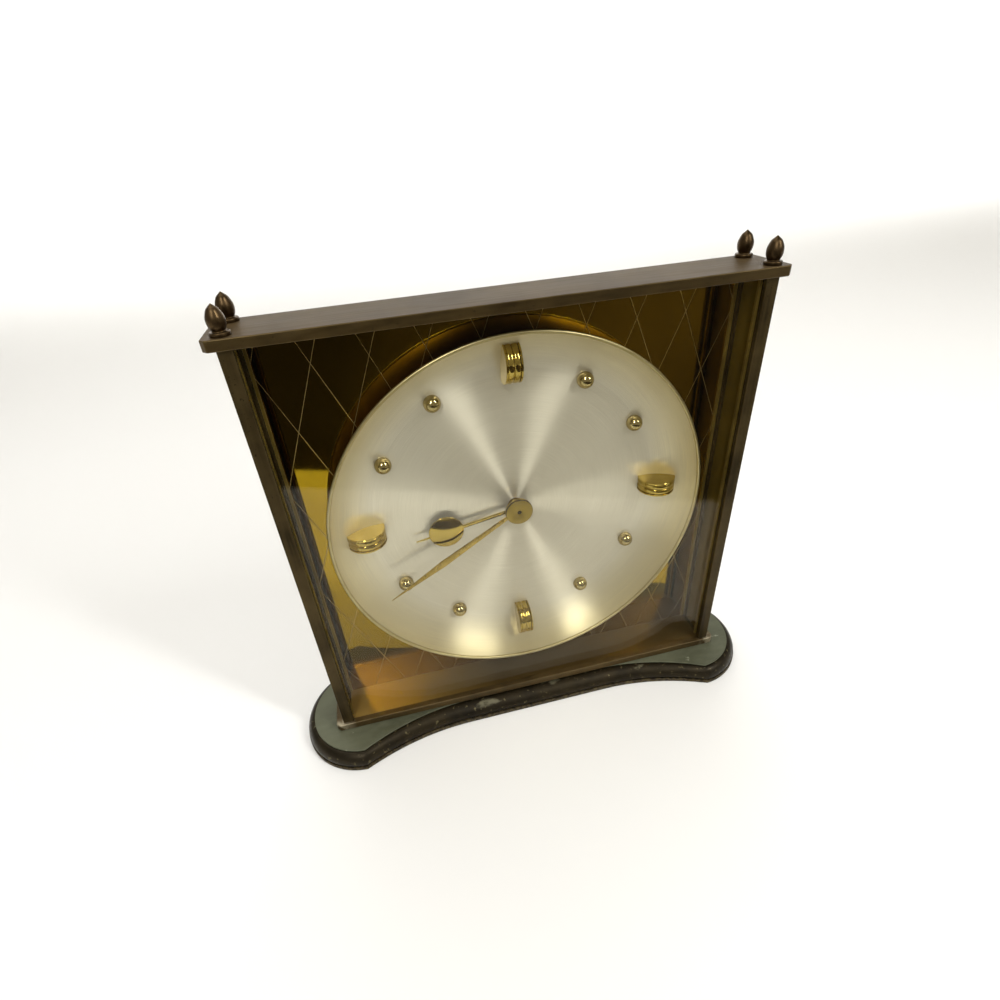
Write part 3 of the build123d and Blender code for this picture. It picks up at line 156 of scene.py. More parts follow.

# %% [markdown]
# ## Aged brass of the case
# Lacquered sheet brass turns brown, with drawn streaks along its length and brighter metal where hands have
# rubbed the edges. Streaks are noise drawn out along the piece, and the worn edge is found from the
# difference between the true normal and a rounded one. Some pieces have layers of their own on top: the
# side sheets are browner outside than inside, and the bottom plate is golden inside the case, behind the
# glass.


# %% Aged brass
def aged_brass(name, tones, stretch, rough=0.38, metal=1.0, streaky=0.45, gleam=0.5, more=None):
    """Brown patina over brass: cloudy tone, drawn streaks along one axis, rubbed edges and small specks. A
    function more(tree, place) can give further layers to lay on top."""
    dark, middle, worn = tones
    material, tree, place = new_finish(name)
    cloud = patches(tree, place, 22)
    # Real draw lines are hair-thin; they are drawn about a millimetre wide so that they show
    streak = patches(tree, place, 1.1, 0.34, 0.70, stretch, 3.0)
    speck = patches(tree, place, 0.9, 0.66, 0.74, detail=2.0)
    drawn = add(tree, "Math", {0: streak, 1: streaky}, operation="MULTIPLY")
    rubbed = add(tree, "Math", {0: edges_of(tree, 0.6), 1: cloud}, operation="MULTIPLY")
    layers = [(cloud, middle), (drawn, middle), (rubbed, worn), (speck, dark)]
    if more:
        layers += more(tree, place)
    skin = {
        "Base Color": layered(tree, dark, layers),
        "Metallic": metal,
        "Roughness": add(tree, "MapRange", {0: drawn, 2: 0.45, 3: rough - 0.08, 4: rough + 0.12}),
        "Specular IOR Level": gleam,
        "Normal": add(tree, "Bump", {"Height": drawn, "Distance": 0.04 * MM, "Strength": 0.25}),
    }
    add(tree, "OutputMaterial", {"Surface": add(tree, "BsdfPrincipled", skin)})
    return material


def browner_outside(tree, place):
    """Layer on faces that look sideways out of the case, where x times the normal's x is above zero."""
    normal = add(tree, "NewGeometry", {}, "Normal")
    away = add(tree, "VectorMath", {0: place, 1: normal}, operation="MULTIPLY")
    sideways = add(tree, "SeparateXYZ", {"Vector": away}, "X")
    return [(add(tree, "MapRange", {0: sideways, 2: 0.05, 4: 0.8}), "3a2f1a")]


print("aged brass ready")

# %% Layers of the bottom plate
# Each pair says where a share is 0 and where it is 1, in millimetres from the middle of the plate
PLATE_END, PLATE_SIDE = (84, 90), (7, 10)
BEHIND_GLASS, BETWEEN_POSTS = (8.7, 8.3), (86.4, 86.0)
BROWNING = (-75, -15)
foot_tones = ("3a2e16", "5c4a28", "a89e84")


def bright_under_glass(tree, place):
    """Pale chips near the corners, then golden metal behind the glass and between the posts, most of all
    at the left end."""
    _, middle, worn = foot_tones
    reach = add(tree, "VectorMath", {0: place}, operation="ABSOLUTE")
    x, y = (add(tree, "SeparateXYZ", {"Vector": reach}, axis) for axis in "XY")
    along = add(tree, "SeparateXYZ", {"Vector": place}, "X")
    places = ((x, PLATE_END), (y, PLATE_SIDE), (y, BEHIND_GLASS), (x, BETWEEN_POSTS), (along, BROWNING))
    shares = [add(tree, "MapRange", {0: at, 1: low * MM, 2: high * MM}) for at, (low, high) in places]
    end, side, behind_glass, between_posts, browned = shares
    corner = add(tree, "Math", {0: end, 1: side}, operation="MULTIPLY")
    chip = add(tree, "MapRange", {0: grain(tree, place, 5.0), 1: 0.44, 2: 0.56, 4: 0.8})
    chipped = add(tree, "Math", {0: corner, 1: chip}, operation="MULTIPLY")
    inside = add(tree, "Math", {0: behind_glass, 1: between_posts}, operation="MULTIPLY")
    return [(chipped, worn), (inside, layered(tree, "b39354", [(browned, middle)]))]


print("bottom plate is golden within", BETWEEN_POSTS[1], "mm of its middle")

# %% Case finishes
LENGTHWISE, UPRIGHT = (0.12, 1, 1), (1, 1, 0.04)
# Brown satin lacquer, so the big flat top reads soft and almost grey under the light
tones = ("413420", "504129", "94794c")
top_finish = aged_brass("brown_satin_brass", tones, (0.06, 1, 1), 0.55, metal=0.05, streaky=0.2, gleam=0.1)
# Olive on the top plate's narrow edges, where the lacquer is thin
tones = ("3a2e16", "524222", "94803f")
edge_finish = aged_brass("olive_edge_brass", tones, LENGTHWISE, metal=0.7)
# Darker olive on the posts, streaked up and down, with a golden glint on the arrises
tones = ("241c0b", "483c23", "8a7544")
post_finish = aged_brass("olive_patina_brass", tones, UPRIGHT, 0.40, metal=0.5, streaky=0.6, gleam=0.1)
# Olive sheets between the posts, dim inside the case and browner outside
tones = ("5c4b18", "6e5a20", "9a8040")
panel_finish = aged_brass("dark_side_brass", tones, UPRIGHT, 0.42, 0.35, 0.2, 0.1, browner_outside)
# Painted light: the beads sit in the lips' shadow, so their golden brass is made light for a thin golden line
tones = ("6e5d28", "867238", "b59a50")
painted_light_bead_finish = aged_brass("golden_painted_light_bead_brass", tones, UPRIGHT, metal=0.5)
# Bottom plate: brown edges, pale corners where it has been set down, and golden inside the case
foot_finish = aged_brass(
    "rubbed_foot_brass", foot_tones, LENGTHWISE, 0.40, metal=0.6, more=bright_under_glass
)
print("case finishes made")

# %% [markdown]
# ## Plates and posts
# Both plates have clipped corners; the posts are square bars with a lip at the outside that hides the edge
# of the glass. Each could be a box with cuts. An outline drawn up into a prism needs only its corners, and
# a small bevel breaks the edges as a file would.


# %% Mesh helpers
SHARP_EDGE = 35.0


def finish_mesh(name, points, faces, materials, sharp=SHARP_EDGE):
    """Puts arrays into a mesh in metres, closes seams and poles, turns faces outwards, smooths up to an
    angle."""
    mesh = bpy.data.meshes.new(name)
    mesh.from_pydata((np.asarray(points) * MM).tolist(), [], faces)
    obj = bpy.data.objects.new(name, mesh)
    bpy.context.collection.objects.link(obj)
    shell = bmesh.new()
    shell.from_mesh(mesh)
    bmesh.ops.remove_doubles(shell, verts=shell.verts, dist=1e-7)
    bmesh.ops.recalc_face_normals(shell, faces=shell.faces)
    shell.to_mesh(mesh)
    shell.free()
    mesh.shade_smooth()
    mesh.set_sharp_from_angle(angle=math.radians(sharp))
    for material in materials:
        mesh.materials.append(material)
    return obj


def prism(outline, low, high):
    """Points and faces of an outline drawn up from low to high: a wall of quads and two flat caps."""
    flat = np.asarray(outline, float)
    count = len(flat)
    levels = [np.column_stack([flat, np.full(count, z)]) for z in (low, high)]
    ring = np.arange(count)
    after = (ring + 1) % count
    walls = np.stack([ring, after, after + count, ring + count], axis=-1).tolist()
    return np.concatenate(levels), walls + [ring.tolist(), (ring + count).tolist()]


def bevelled(obj, width):
    """Softens the sharp edges of a piece by a bevel of the given width in millimetres."""
    bevel = obj.modifiers.new("edge", "BEVEL")
    bevel.width = width * MM
    bevel.segments = 2
    bevel.limit_method = "ANGLE"
    bevel.angle_limit = math.radians(SHARP_EDGE)
    bevel.harden_normals = True
    return obj


def of_faces(obj, what):
    """The normals or the centres of all faces, one row each."""
    flat = np.empty(len(obj.data.polygons) * 3)
    obj.data.polygons.foreach_get(what, flat)
    return flat.reshape(-1, 3)


def choose_finish(obj, numbers):
    """Gives each face the finish with its number."""
    obj.data.polygons.foreach_set("material_index", np.asarray(numbers).astype(np.int32))


def stands_for(obj, node, body="case"):
    """The piece rides on a body and stands for a solid of the frame, which is hidden."""
    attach(obj, body)
    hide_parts(node)


print("a square prism has", len(prism([(0, 0), (1, 0), (1, 1), (0, 1)], 0, 1)[1]), "faces")

# %% Plates
HALF_W, HALF_D = 89.7, 10.2
POST_FOOT, POST_TOP = 12.0, 182.8
PLATE_T, CLIP = 3.5, 1.5


def clipped(x, y):
    """Corners of a rectangle of half sizes x and y with its corners cut off at 45 degrees."""
    c = CLIP
    right = [(x, c - y), (x, y - c), (x - c, y)]
    return right + [(c - x, y), (-x, y - c), (-x, c - y), (c - x, -y), (x - c, -y)]


for name, over_x, over_y, low, flat_finish, wall_finish in (
    ("top_plate", 3.4, 1.8, POST_TOP, top_finish, edge_finish),
    ("bottom_plate", 3.3, 1.0, POST_FOOT - PLATE_T, foot_finish, foot_finish),
):
    outline = clipped(HALF_W + over_x, HALF_D + over_y)
    shape = prism(outline, low, low + PLATE_T)
    plate = finish_mesh(name + "_dressed", *shape, [flat_finish, wall_finish])
    choose_finish(plate, np.abs(of_faces(plate, "normal")[:, 2]) < 0.5)
    stands_for(bevelled(plate, width=0.35), name)
    print(name, "corners", len(outline))

# %% Posts and side sheets
LIP_X, LIP_Y, REBATE_X, REBATE_Y = 85.1, 8.6, 86.2, 5.2
SLOT_IN, SLOT_OUT, SLOT_END = 87.55, 88.65, 6.6
lip = [(HALF_W, HALF_D), (LIP_X, HALF_D), (LIP_X, LIP_Y), (REBATE_X, LIP_Y), (REBATE_X, REBATE_Y)]
slot = [(SLOT_IN, REBATE_Y), (SLOT_IN, SLOT_END), (SLOT_OUT, SLOT_END), (SLOT_OUT, REBATE_Y)]
post_section = np.array(lip + slot + [(HALF_W, REBATE_Y)])
CORNERS = [
    (face + "_" + side, across, depth)
    for side, across in (("left", -1), ("right", 1))
    for face, depth in (("front", -1), ("rear", 1))
]
for corner, across, depth in CORNERS:
    name = "post_" + corner
    shape = prism(post_section * (across, depth), POST_FOOT, POST_TOP)
    stands_for(bevelled(finish_mesh(name + "_dressed", *shape, [post_finish]), width=0.3), name)
for name in ("side_panel_left", "side_panel_right", "glass_beads", "back_beads"):
    nodes[name].data.materials.clear()
    nodes[name].data.materials.append(painted_light_bead_finish if name.endswith("beads") else panel_finish)
print("posts", len(CORNERS), "with", len(post_section), "corners each")

# %% [markdown]
# ## Finials
# Four acorns turned from brass rod: a flat collar, a short neck, and a nut that swells and runs to a point.
# On a lathe only the profile matters, so each is one profile turned about its own upright axis.


# %% Turned surfaces
def grid_faces(rows, columns, wrap_rows=True, wrap_columns=False):
    """Quads of a grid whose point (i, j) has the number i * columns + j."""
    i = np.arange(rows if wrap_rows else rows - 1)
    j = np.arange(columns if wrap_columns else columns - 1)
    i, j = np.meshgrid(i, j, indexing="ij")
    k, m = (i + 1) % rows, (j + 1) % columns
    quads = np.stack([i * columns + j, k * columns + j, k * columns + m, i * columns + m], axis=-1)
    return quads.reshape(-1, 4).tolist()


def skinned(sheet, **wraps):
    """Points and faces of a sheet of points on a grid."""
    return sheet.reshape(-1, 3), grid_faces(*sheet.shape[:2], **wraps)


def turned(profile, steps, axis):
    """Points of a turned piece: radius r and height h of the profile become (r sin a, r cos a) about the
    axis. About "Y", the angle a runs clockwise from the top and h is the depth; about "Z", h is the
    height."""
    angle = np.linspace(0, 2 * np.pi, steps, endpoint=False)[:, None]
    radius, height = np.asarray(profile, float).T[:, None, :]
    across, along = radius * np.sin(angle), radius * np.cos(angle)
    level = height + 0 * angle
    parts = (across, level, along) if axis == "Y" else (across, along, level)
    return np.stack(parts, axis=-1)


def arc(centre, radius, start, end, count):
    """Points of a circle's arc: centre + radius (cos t, sin t), t in degrees from start to end."""
    t = np.radians(np.linspace(start, end, count))
    return np.stack([centre[0] + radius * np.cos(t), centre[1] + radius * np.sin(t)], axis=-1)


def smooth_line(points, steps):
    """A curve through all the points: each span is a cubic whose end slopes follow the neighbours."""
    p = np.asarray(points, float)
    p = np.concatenate([[2 * p[0] - p[1]], p, [2 * p[-1] - p[-2]]])
    t = np.linspace(0, 1, steps, endpoint=False)[:, None]
    a, b, c, d = (p[k : len(p) - 3 + k, None, :] for k in range(4))
    square, cube = 2 * a - 5 * b + 4 * c - d, 3 * b - a - 3 * c + d
    spans = 0.5 * (2 * b + (c - a) * t + square * t**2 + cube * t**3)
    return np.concatenate([spans.reshape(-1, 2), p[-2:-1]])


print("top of a half circle", arc((0, 0), 1, 0, 180, 3)[1].round(3).tolist())

# %% Finials
# Turned rod, browner than the posts, with a soft highlight down each acorn
tones = ("33281a", "52422c", "8f784a")
finial_finish = aged_brass("brown_turned_brass", tones, (1, 1, 0.3), rough=0.36)
STUD_X, STUD_Y, CASE_TOP = 87.5, 8.0, POST_TOP + PLATE_T
COLLAR_R, COLLAR_EASE = 2.8, 0.2
BEAD_R, BEAD_AT = 0.45, (2.55, 0.85)
foot = [(0, 0), (COLLAR_R, 0)]
collar = arc((COLLAR_R, COLLAR_EASE), COLLAR_EASE, -90, 0, 4)
bead = arc(BEAD_AT, BEAD_R, 0, 90, 6)
neck = [(2.08, 1.32), (2.0, 1.42)]
belly = [(2.0, 1.6), (2.5, 2.7), (2.7, 4.2), (2.5, 5.6)]
point = [(1.73, 7.33), (0.8, 8.23), (0.12, 8.8), (0, 8.85)]
acorn = smooth_line(belly + point, steps=6)
finial_profile = np.concatenate([foot, collar, bead, neck, acorn])
finial_profile[:, 1] = np.minimum(finial_profile[:, 1], acorn[-1, 1])
for corner, across, depth in CORNERS:
    name = "finial_" + corner
    sheet = turned(finial_profile, steps=48, axis="Z") + (across * STUD_X, depth * STUD_Y, CASE_TOP)
    stands_for(finish_mesh(name + "_dressed", *skinned(sheet), [finial_finish], sharp=50), name)
print("finials", finial_profile.shape[0], "profile points")

# %% [markdown]
# ## Base
# A casting with rounded ends and a drawn-in waist. Its edge is a plain strip with a rounded moulding above
# it. The outline could be swept by a curve object, but its waist and its ends draw in by different amounts.
# So the surface carries one profile round the whole outline: the profile says how far each line is drawn in
# towards the panel and how high it lies.

# %% Base shape
LOBE_X, LOBE_R, LOBE_IN = 80.4, 27.5, 4.1
WAIST_Y, WAIST_IN = 16.8, 6.4
STRAIGHT_X, STRAIGHT_IN = 33.0, 3.0
STRIP_H, MOULDING_H = 2.0, 5.7
BASE_H = STRIP_H + MOULDING_H
CORNER_LEAN = 3.0


def base_outline(share):
    """Closed outline of the base, drawn in by a share of the way to the panel: straight, hollow arc, lobe,
    and the same mirrored. The hollow arc leaves the straight smoothly and ends on the lobe at a corner."""
    lobe, waist = LOBE_R - LOBE_IN * share, WAIST_Y - WAIST_IN * share
    straight = STRAIGHT_X - STRAIGHT_IN * share
    lean = math.radians(CORNER_LEAN)
    corner = np.array([LOBE_X + lobe * math.sin(lean), lobe * math.cos(lean)])
    run, drop = corner[0] - straight, corner[1] - waist
    hollow_r = (run**2 + drop**2) / (2 * drop)
    t = np.linspace(0, math.asin(run / hollow_r), 26)
    hollow = np.column_stack([straight + hollow_r * np.sin(t), -waist - hollow_r * (1 - np.cos(t))])
    end = arc((LOBE_X, 0), lobe, CORNER_LEAN - 90, 90 - CORNER_LEAN, 48)[1:-1]
    right = np.concatenate([hollow, end, hollow[::-1] * (1, -1)])
    return np.concatenate([right, right[::-1] * (-1, 1)])


# The moulding is a cubic through four shares of the way in and four shares of its height
IN_SHARES, UP_SHARES = (0.16, 0.10, 0.36, 0.88), (0.0, 0.32, 0.74, 1.0)
step, rise = np.linspace(0, 1, 4), np.linspace(0, 1, 16)
way_in, way_up = (np.polyval(np.polyfit(step, shares, 3), rise) for shares in (IN_SHARES, UP_SHARES))
strip_profile = [(0.06, 0.0), (0.0, 0.25), (0.0, 1.75), (0.05, STRIP_H)]
base_profile = [*strip_profile, *zip(way_in, STRIP_H + MOULDING_H * way_up), (1.0, BASE_H)]
lines = [np.insert(base_outline(share), 2, height, axis=1) for share, height in base_profile]
base_rows = np.stack(lines, axis=1)
print("base rows", base_rows.shape)

# %% Base finish
# Heights in millimetres where the rubbing of the foot and the chips of the crest start and are full
FOOT_RUB, CREST = (2.4, 1.2), (5.6, 7.2)


def bronzed(name):
    """Dark bronzing with grain and specks, rubbed along the foot and chipped on the moulding's crest."""
    material, tree, place = new_finish(name)
    cloud = patches(tree, place, 12)
    fine = grain(tree, place, 1.4, detail=5.0)
    height = add(tree, "SeparateXYZ", {"Vector": place}, "Z")
    foot, crest = (
        add(tree, "MapRange", {0: height, 1: low * MM, 2: high * MM}) for low, high in (FOOT_RUB, CREST)
    )
    grit = add(tree, "MapRange", {0: fine, 1: 0.40, 2: 0.60})
    rubbed = add(tree, "Math", {0: foot, 1: grit}, operation="MULTIPLY")
    nick = add(tree, "MapRange", {0: fine, 1: 0.45, 2: 0.62})
    scuff = add(tree, "Math", {0: edges_of(tree, 0.8), 1: nick}, operation="MULTIPLY")
    speck = patches(tree, place, 2.2, 0.64, 0.72, detail=2.0)
    chip = patches(tree, place, 9, 0.62, 0.68, (0.5, 1, 1), 5.0)
    chipped = add(tree, "Math", {0: crest, 1: chip}, operation="MULTIPLY")
    worn = [(rubbed, "5b5038"), (scuff, "5a4a2c"), (speck, "5a5238"), (chipped, "6b6752")]
    skin = {
        "Base Color": layered(tree, "1a1509", [(cloud, "2e2614"), *worn]),
        "Metallic": 0.75,
        "Roughness": add(tree, "MapRange", {0: fine, 1: 0.3, 2: 0.7, 3: 0.30, 4: 0.52}),
        "Normal": add(tree, "Bump", {"Height": fine, "Distance": 0.08 * MM, "Strength": 0.35}),
    }
    add(tree, "OutputMaterial", {"Surface": add(tree, "BsdfPrincipled", skin)})
    return material


# Almost black bronze that glints along the moulding and goes pale where it is rubbed and chipped
base_finish = bronzed("dark_bronzed_casting")
count, levels = base_rows.shape[:2]
caps = [list(range(edge, count * levels, levels)) for edge in (0, levels - 1)]
points, faces = skinned(base_rows)
base = finish_mesh("base_plate_dressed", points, faces + caps, [base_finish], sharp=40)
stands_for(base, "base_plate")
print("base faces", len(base.data.polygons))

# %% [markdown]
# ## Base panel
# The flat top is finished in a grey-green satin that has faded unevenly. It is the inner outline of the
# base drawn up by its own thickness, so it meets the moulding all round.


# %% Base panel
def enamel(name):
    """Grey-green satin: broad fading, fine mottling and a few pale scuffs."""
    material, tree, place = new_finish(name)
    fade = patches(tree, place, 40)
    mottle = patches(tree, place, 2.5, 0.35, 0.70, (0.4, 1, 1))
    faint = add(tree, "Math", {0: mottle, 1: 0.4}, operation="MULTIPLY")
    scuff = patches(tree, place, 5, 0.66, 0.72, detail=6.0)
    skin = {
        "Base Color": layered(tree, "454736", [(fade, "5c5e4a"), (faint, "6a6d58"), (scuff, "8f917a")]),
        "Metallic": 0.1,
        "Roughness": add(tree, "MapRange", {0: mottle, 3: 0.50, 4: 0.64}),
        "Specular IOR Level": 0.3,
        "Normal": add(tree, "Bump", {"Height": mottle, "Distance": 0.03 * MM, "Strength": 0.2}),
    }
    add(tree, "OutputMaterial", {"Surface": add(tree, "BsdfPrincipled", skin)})
    return material


PANEL_T = 0.8
shape = prism(base_outline(1.0), BASE_H, BASE_H + PANEL_T)
# Soft green-grey with a dull sheen, so the ends of the base look paler than their edge
panel = finish_mesh("base_panel_dressed", *shape, [enamel("grey_green_satin")], sharp=40)
stands_for(bevelled(panel, width=0.2), "base_panel")
print("panel points", len(panel.data.vertices))

# %% [markdown]
# ## Dial
# A disc of sheet metal spun into a shallow dish. Spinning and brushing leave fine circular lines, and those
# give the bright fans of light from the hub. Fans painted into the colour wouldn't move with the light. So
# the shader has an anisotropic gloss whose tangent points away from the hub, with broken circular lines
# over it. The back of the dish is plain brass.

# %% Dial shape
DIAL_Z, DIAL_R, DIAL_T, HUB_R = 98.7, 75.0, 0.8, 3.5
FACE_R, FACE_Y, DISH_DEPTH, RIM_WIRE = 57.0, 9.5, 13.5, 0.7
FLAT_STEPS, BEND_STEPS = 12, 40
HUB = (0, 0, DIAL_Z)
dish_turn = 2 * math.atan2(DISH_DEPTH, DIAL_R - FACE_R)
DISH_ARC = (DIAL_R - FACE_R) / math.sin(dish_turn)
bend = np.linspace(0, dish_turn, BEND_STEPS)


def dish_line(grow):
    """Half section of the dish: a flat face, then an arc that rises to the rim. The thickness grow moves it
    back."""
    flat = np.column_stack([np.linspace(HUB_R, FACE_R - 1, FLAT_STEPS), np.full(FLAT_STEPS, FACE_Y + grow)])
    r = FACE_R + (DISH_ARC + grow) * np.sin(bend)
    y = FACE_Y - DISH_ARC + (DISH_ARC + grow) * np.cos(bend)
    return np.concatenate([flat, np.column_stack([r, y])])


front_line, back_line = dish_line(0.0), dish_line(DIAL_T)
rim_at = (front_line[-1] + back_line[-1]) / 2
rim_line = arc(rim_at, RIM_WIRE, 0, 360, 25)
print("rim at radius and depth", rim_at.round(2).tolist())

# %% Dial finish
FLANGE_GOLD = (60, DIAL_R)
BRUSH_MM = 0.16


def brushed_dial(name):
    """Silvered spun metal: gloss drawn out away from the hub, broken circular lines, a slow champagne tone
    that goes golden on the flange."""
    material, tree, place = new_finish(name)
    centred = add(tree, "VectorMath", {0: place, 1: (0, 0, -DIAL_Z * MM)}, operation="ADD")
    outward = add(tree, "VectorMath", {0: centred, 1: (1, 0, 1)}, operation="MULTIPLY")
    tangent = add(tree, "VectorMath", {0: outward}, operation="NORMALIZE")
    radius = add(tree, "VectorMath", {0: outward}, "Value", operation="LENGTH")
    # Real brush lines are a few hundredths of a millimetre apart; they are drawn coarser so that they show
    ring = add(tree, "Math", {0: radius, 1: 1 / (BRUSH_MM * MM)}, operation="MULTIPLY")
    round_part = add(tree, "VectorMath", {0: tangent, 1: (2.2, 0, 2.2)}, operation="MULTIPLY")
    ring_part = add(tree, "CombineXYZ", {"Y": ring})
    where = add(tree, "VectorMath", {0: round_part, 1: ring_part}, operation="ADD")
    lines = add(tree, "TexNoise", {"Vector": where, "Scale": 1.0, "Detail": 2.0}, "Fac")
    line = add(tree, "MapRange", {0: lines, 1: 0.30, 2: 0.70})
    faint = add(tree, "Math", {0: line, 1: 0.30}, operation="MULTIPLY")
    cloud = patches(tree, place, 60)
    flange = add(tree, "MapRange", {0: radius, 1: FLANGE_GOLD[0] * MM, 2: FLANGE_GOLD[1] * MM})
    layers = [(cloud, "e6e1d6"), (flange, "d9cda6"), (faint, "b8b2a4")]
    skin = {
        "Base Color": layered(tree, "dcd6ca", layers),
        "Metallic": 0.7,
        "Roughness": add(tree, "MapRange", {0: line, 3: 0.36, 4: 0.43}),
        "Anisotropic": 1.0,
        "Tangent": tangent,
        "Normal": add(tree, "Bump", {"Height": lines, "Distance": 0.004 * MM, "Strength": 0.10}),
    }
    add(tree, "OutputMaterial", {"Surface": add(tree, "BsdfPrincipled", skin)})
    return material


# Champagne silver whose light gathers in fans from the hub
dial_finish = brushed_dial("circular_brushed_silver")
print("dial finish made")


# %% Bright brass
def bright_brass(name, tone_a, tone_b, rough, line_mm=0.5):
    """Polished brass: slow change of tone, upright hairline scratches and a little haze. The scratches are
    drawn line_mm wide, coarser than real ones, so that they show."""
    material, tree, place = new_finish(name)
    cloud = patches(tree, place, 9)
    hair = patches(tree, place, line_mm, 0.35, 0.70, (1, 1, 0.15), 2.0)
    skin = {
        "Base Color": layered(tree, tone_a, [(cloud, tone_b)]),
        "Metallic": 1.0,
        "Roughness": add(tree, "MapRange", {0: hair, 3: rough, 4: rough + 0.10}),
        "Normal": add(tree, "Bump", {"Height": hair, "Distance": 0.004 * MM, "Strength": 0.12}),
    }
    add(tree, "OutputMaterial", {"Surface": add(tree, "BsdfPrincipled", skin)})
    return material


# Dull raw brass on the back of the dish, a soft brown arc in the mirror of the back plate
dish_back_finish = bright_brass("raw_spun_brass", "8a7030", "9a803c", rough=0.46, line_mm=6.0)
# Pale gold thread of light round the rim
rim_finish = bright_brass("pale_gold_rim", "b3a67c", "c2b68c", rough=0.32)
print("brass for the dial's back and rim made")

# %% Dial piece
# A face this far behind the front line is on the back, and one this near the rim's middle is on the rim
BACK_GAP, RIM_REACH = 0.3, 0.78


def gathered(shapes):
    """Several (points, faces) sets as one, each set's faces counted on from the last."""
    counts = np.cumsum([0] + [len(points) for points, _ in shapes])
    faces = [[v + int(start) for v in face] for start, (_, fs) in zip(counts, shapes) for face in fs]
    return np.concatenate([points for points, _ in shapes]), faces


hub_wall = [front_line[0], back_line[0]]
profiles = (front_line, back_line, rim_line, hub_wall)
shapes = [skinned(turned(profile, steps=256, axis="Y") + HUB) for profile in profiles]
finishes = [dial_finish, dish_back_finish, rim_finish]
dial = finish_mesh("dial_dressed", *gathered(shapes), finishes, sharp=60)
middle = of_faces(dial, "center") / MM - HUB
out = np.hypot(middle[:, 0], middle[:, 2])
behind = middle[:, 1] > np.interp(out, front_line[:, 0], front_line[:, 1]) + BACK_GAP
near_rim = np.hypot(out - rim_at[0], middle[:, 1] - rim_at[1]) < RIM_REACH
choose_finish(dial, np.where(near_rim, 2, behind))
stands_for(dial, "dial")
print("dial faces", len(dial.data.polygons), "rim faces", int(near_rim.sum()))

# %% [markdown]
# ## Hour marks
# Eight balls sit in the corner where the flat face starts to rise. At the quarters lie tall rollers: a bar
# turned with two round ribs between flat end flanges, set across the radius and cut to sit on the dial. A
# cut could be a boolean. Here the points that would lie behind the dial are laid into its sheet, which
# keeps the grid whole.

# %% Balls
# Mirror gilt with a warm glint
gold_finish = bright_brass("polished_gold_brass", "a8924a", "baa45c", rough=0.06)
# Balls are a paler brass, so they look half silver among the dial's reflections
ball_finish = bright_brass("pale_ball_brass", "a39468", "b5a679", rough=0.10)
MARK_R, BALL_R, BALL_Y, BALL_CUT = 58.5, 3.3, FACE_Y - 1.05, 116
polar = np.radians(np.linspace(0, BALL_CUT, 22))
ball_profile = BALL_R * np.column_stack([np.sin(polar), -np.cos(polar)])
ball_profile = np.concatenate([ball_profile, [(0, ball_profile[-1, 1])]])
balls = []
for hour in np.radians([angle for angle in range(0, 360, 30) if angle % 90]):
    mark = (MARK_R * math.sin(hour), BALL_Y, DIAL_Z + MARK_R * math.cos(hour))
    balls.append(skinned(turned(ball_profile, steps=36, axis="Y") + mark))
ball_piece = finish_mesh("hour_balls_dressed", *gathered(balls), [ball_finish], sharp=50)
stands_for(ball_piece, "hour_balls")
print("balls", len(balls))

# %% Rollers
ROLLER_R, ROLLER_REACH, ROLLER_Y = 7.85, 62.4, 7.45
HALF_L, FLANGE, GROOVE, EASE = 3.1, 0.7, 0.5, 0.12
inner = HALF_L - FLANGE
rib = np.linspace(0, np.pi, 13)
rib_x = np.concatenate([side * inner / 2 - inner / 2 * np.cos(rib) for side in (-1, 1)])
rib_r = ROLLER_R - GROOVE + GROOVE * np.tile(np.sin(rib), 2)
end_x = np.array([HALF_L, HALF_L, HALF_L - EASE, inner])
end_r = np.array([0, ROLLER_R - EASE, ROLLER_R, ROLLER_R])
roller_x = np.concatenate([-end_x, rib_x, end_x[::-1]])
roller_r = np.concatenate([end_r, rib_r, end_r[::-1]])
sweep = np.linspace(0, 2 * np.pi, 72, endpoint=False)[:, None]


def inside_sheet(radius):
    """Depth of the middle of the dial's sheet at a distance from the hub: flat, then the flange's arc."""
    past = np.clip(radius - FACE_R, 0, DIAL_R - FACE_R)
    return FACE_Y - DISH_ARC + np.sqrt((DISH_ARC + DIAL_T / 2) ** 2 - past**2)


rollers = []
for angle in np.radians([0, 90, 180, 270]):
    outward = ROLLER_REACH + roller_r * np.sin(sweep)
    x = outward * math.sin(angle) + roller_x * math.cos(angle)
    z = outward * math.cos(angle) - roller_x * math.sin(angle)
    depth = np.minimum(ROLLER_Y - roller_r * np.cos(sweep), inside_sheet(np.hypot(x, z)))
    rollers.append(skinned(np.stack([x, depth, DIAL_Z + z], axis=-1)))
roller_piece = finish_mesh("hour_rollers_dressed", *gathered(rollers), [gold_finish], sharp=40)
stands_for(roller_piece, "hour_rollers")
print("rollers", len(rollers), "radius", ROLLER_R)

# %% [markdown]
# ## Hands
# Both hands are cut from sheet brass. The minute hand is a long kite with a low ridge, bent forwards beside
# its boss so that it passes over the rollers; the hour hand is a needle that carries a polished disc with a
# soft edge. A round cap with a small hole closes the hub. Each is drawn lying along X, where its sizes are
# plain to read, and then turned to the time that it shows.


# %% Hand helpers
def laid(points, angle, rear):
    """Turns a piece drawn along +X with its height in Z to an angle clockwise from the top, its back at a
    depth."""
    turn_by = math.radians(90 - angle)
    x, y, h = np.asarray(points).T
    across = x * math.cos(turn_by) - y * math.sin(turn_by)
    up = x * math.sin(turn_by) + y * math.cos(turn_by)
    return np.column_stack([across, rear - h, DIAL_Z + up])


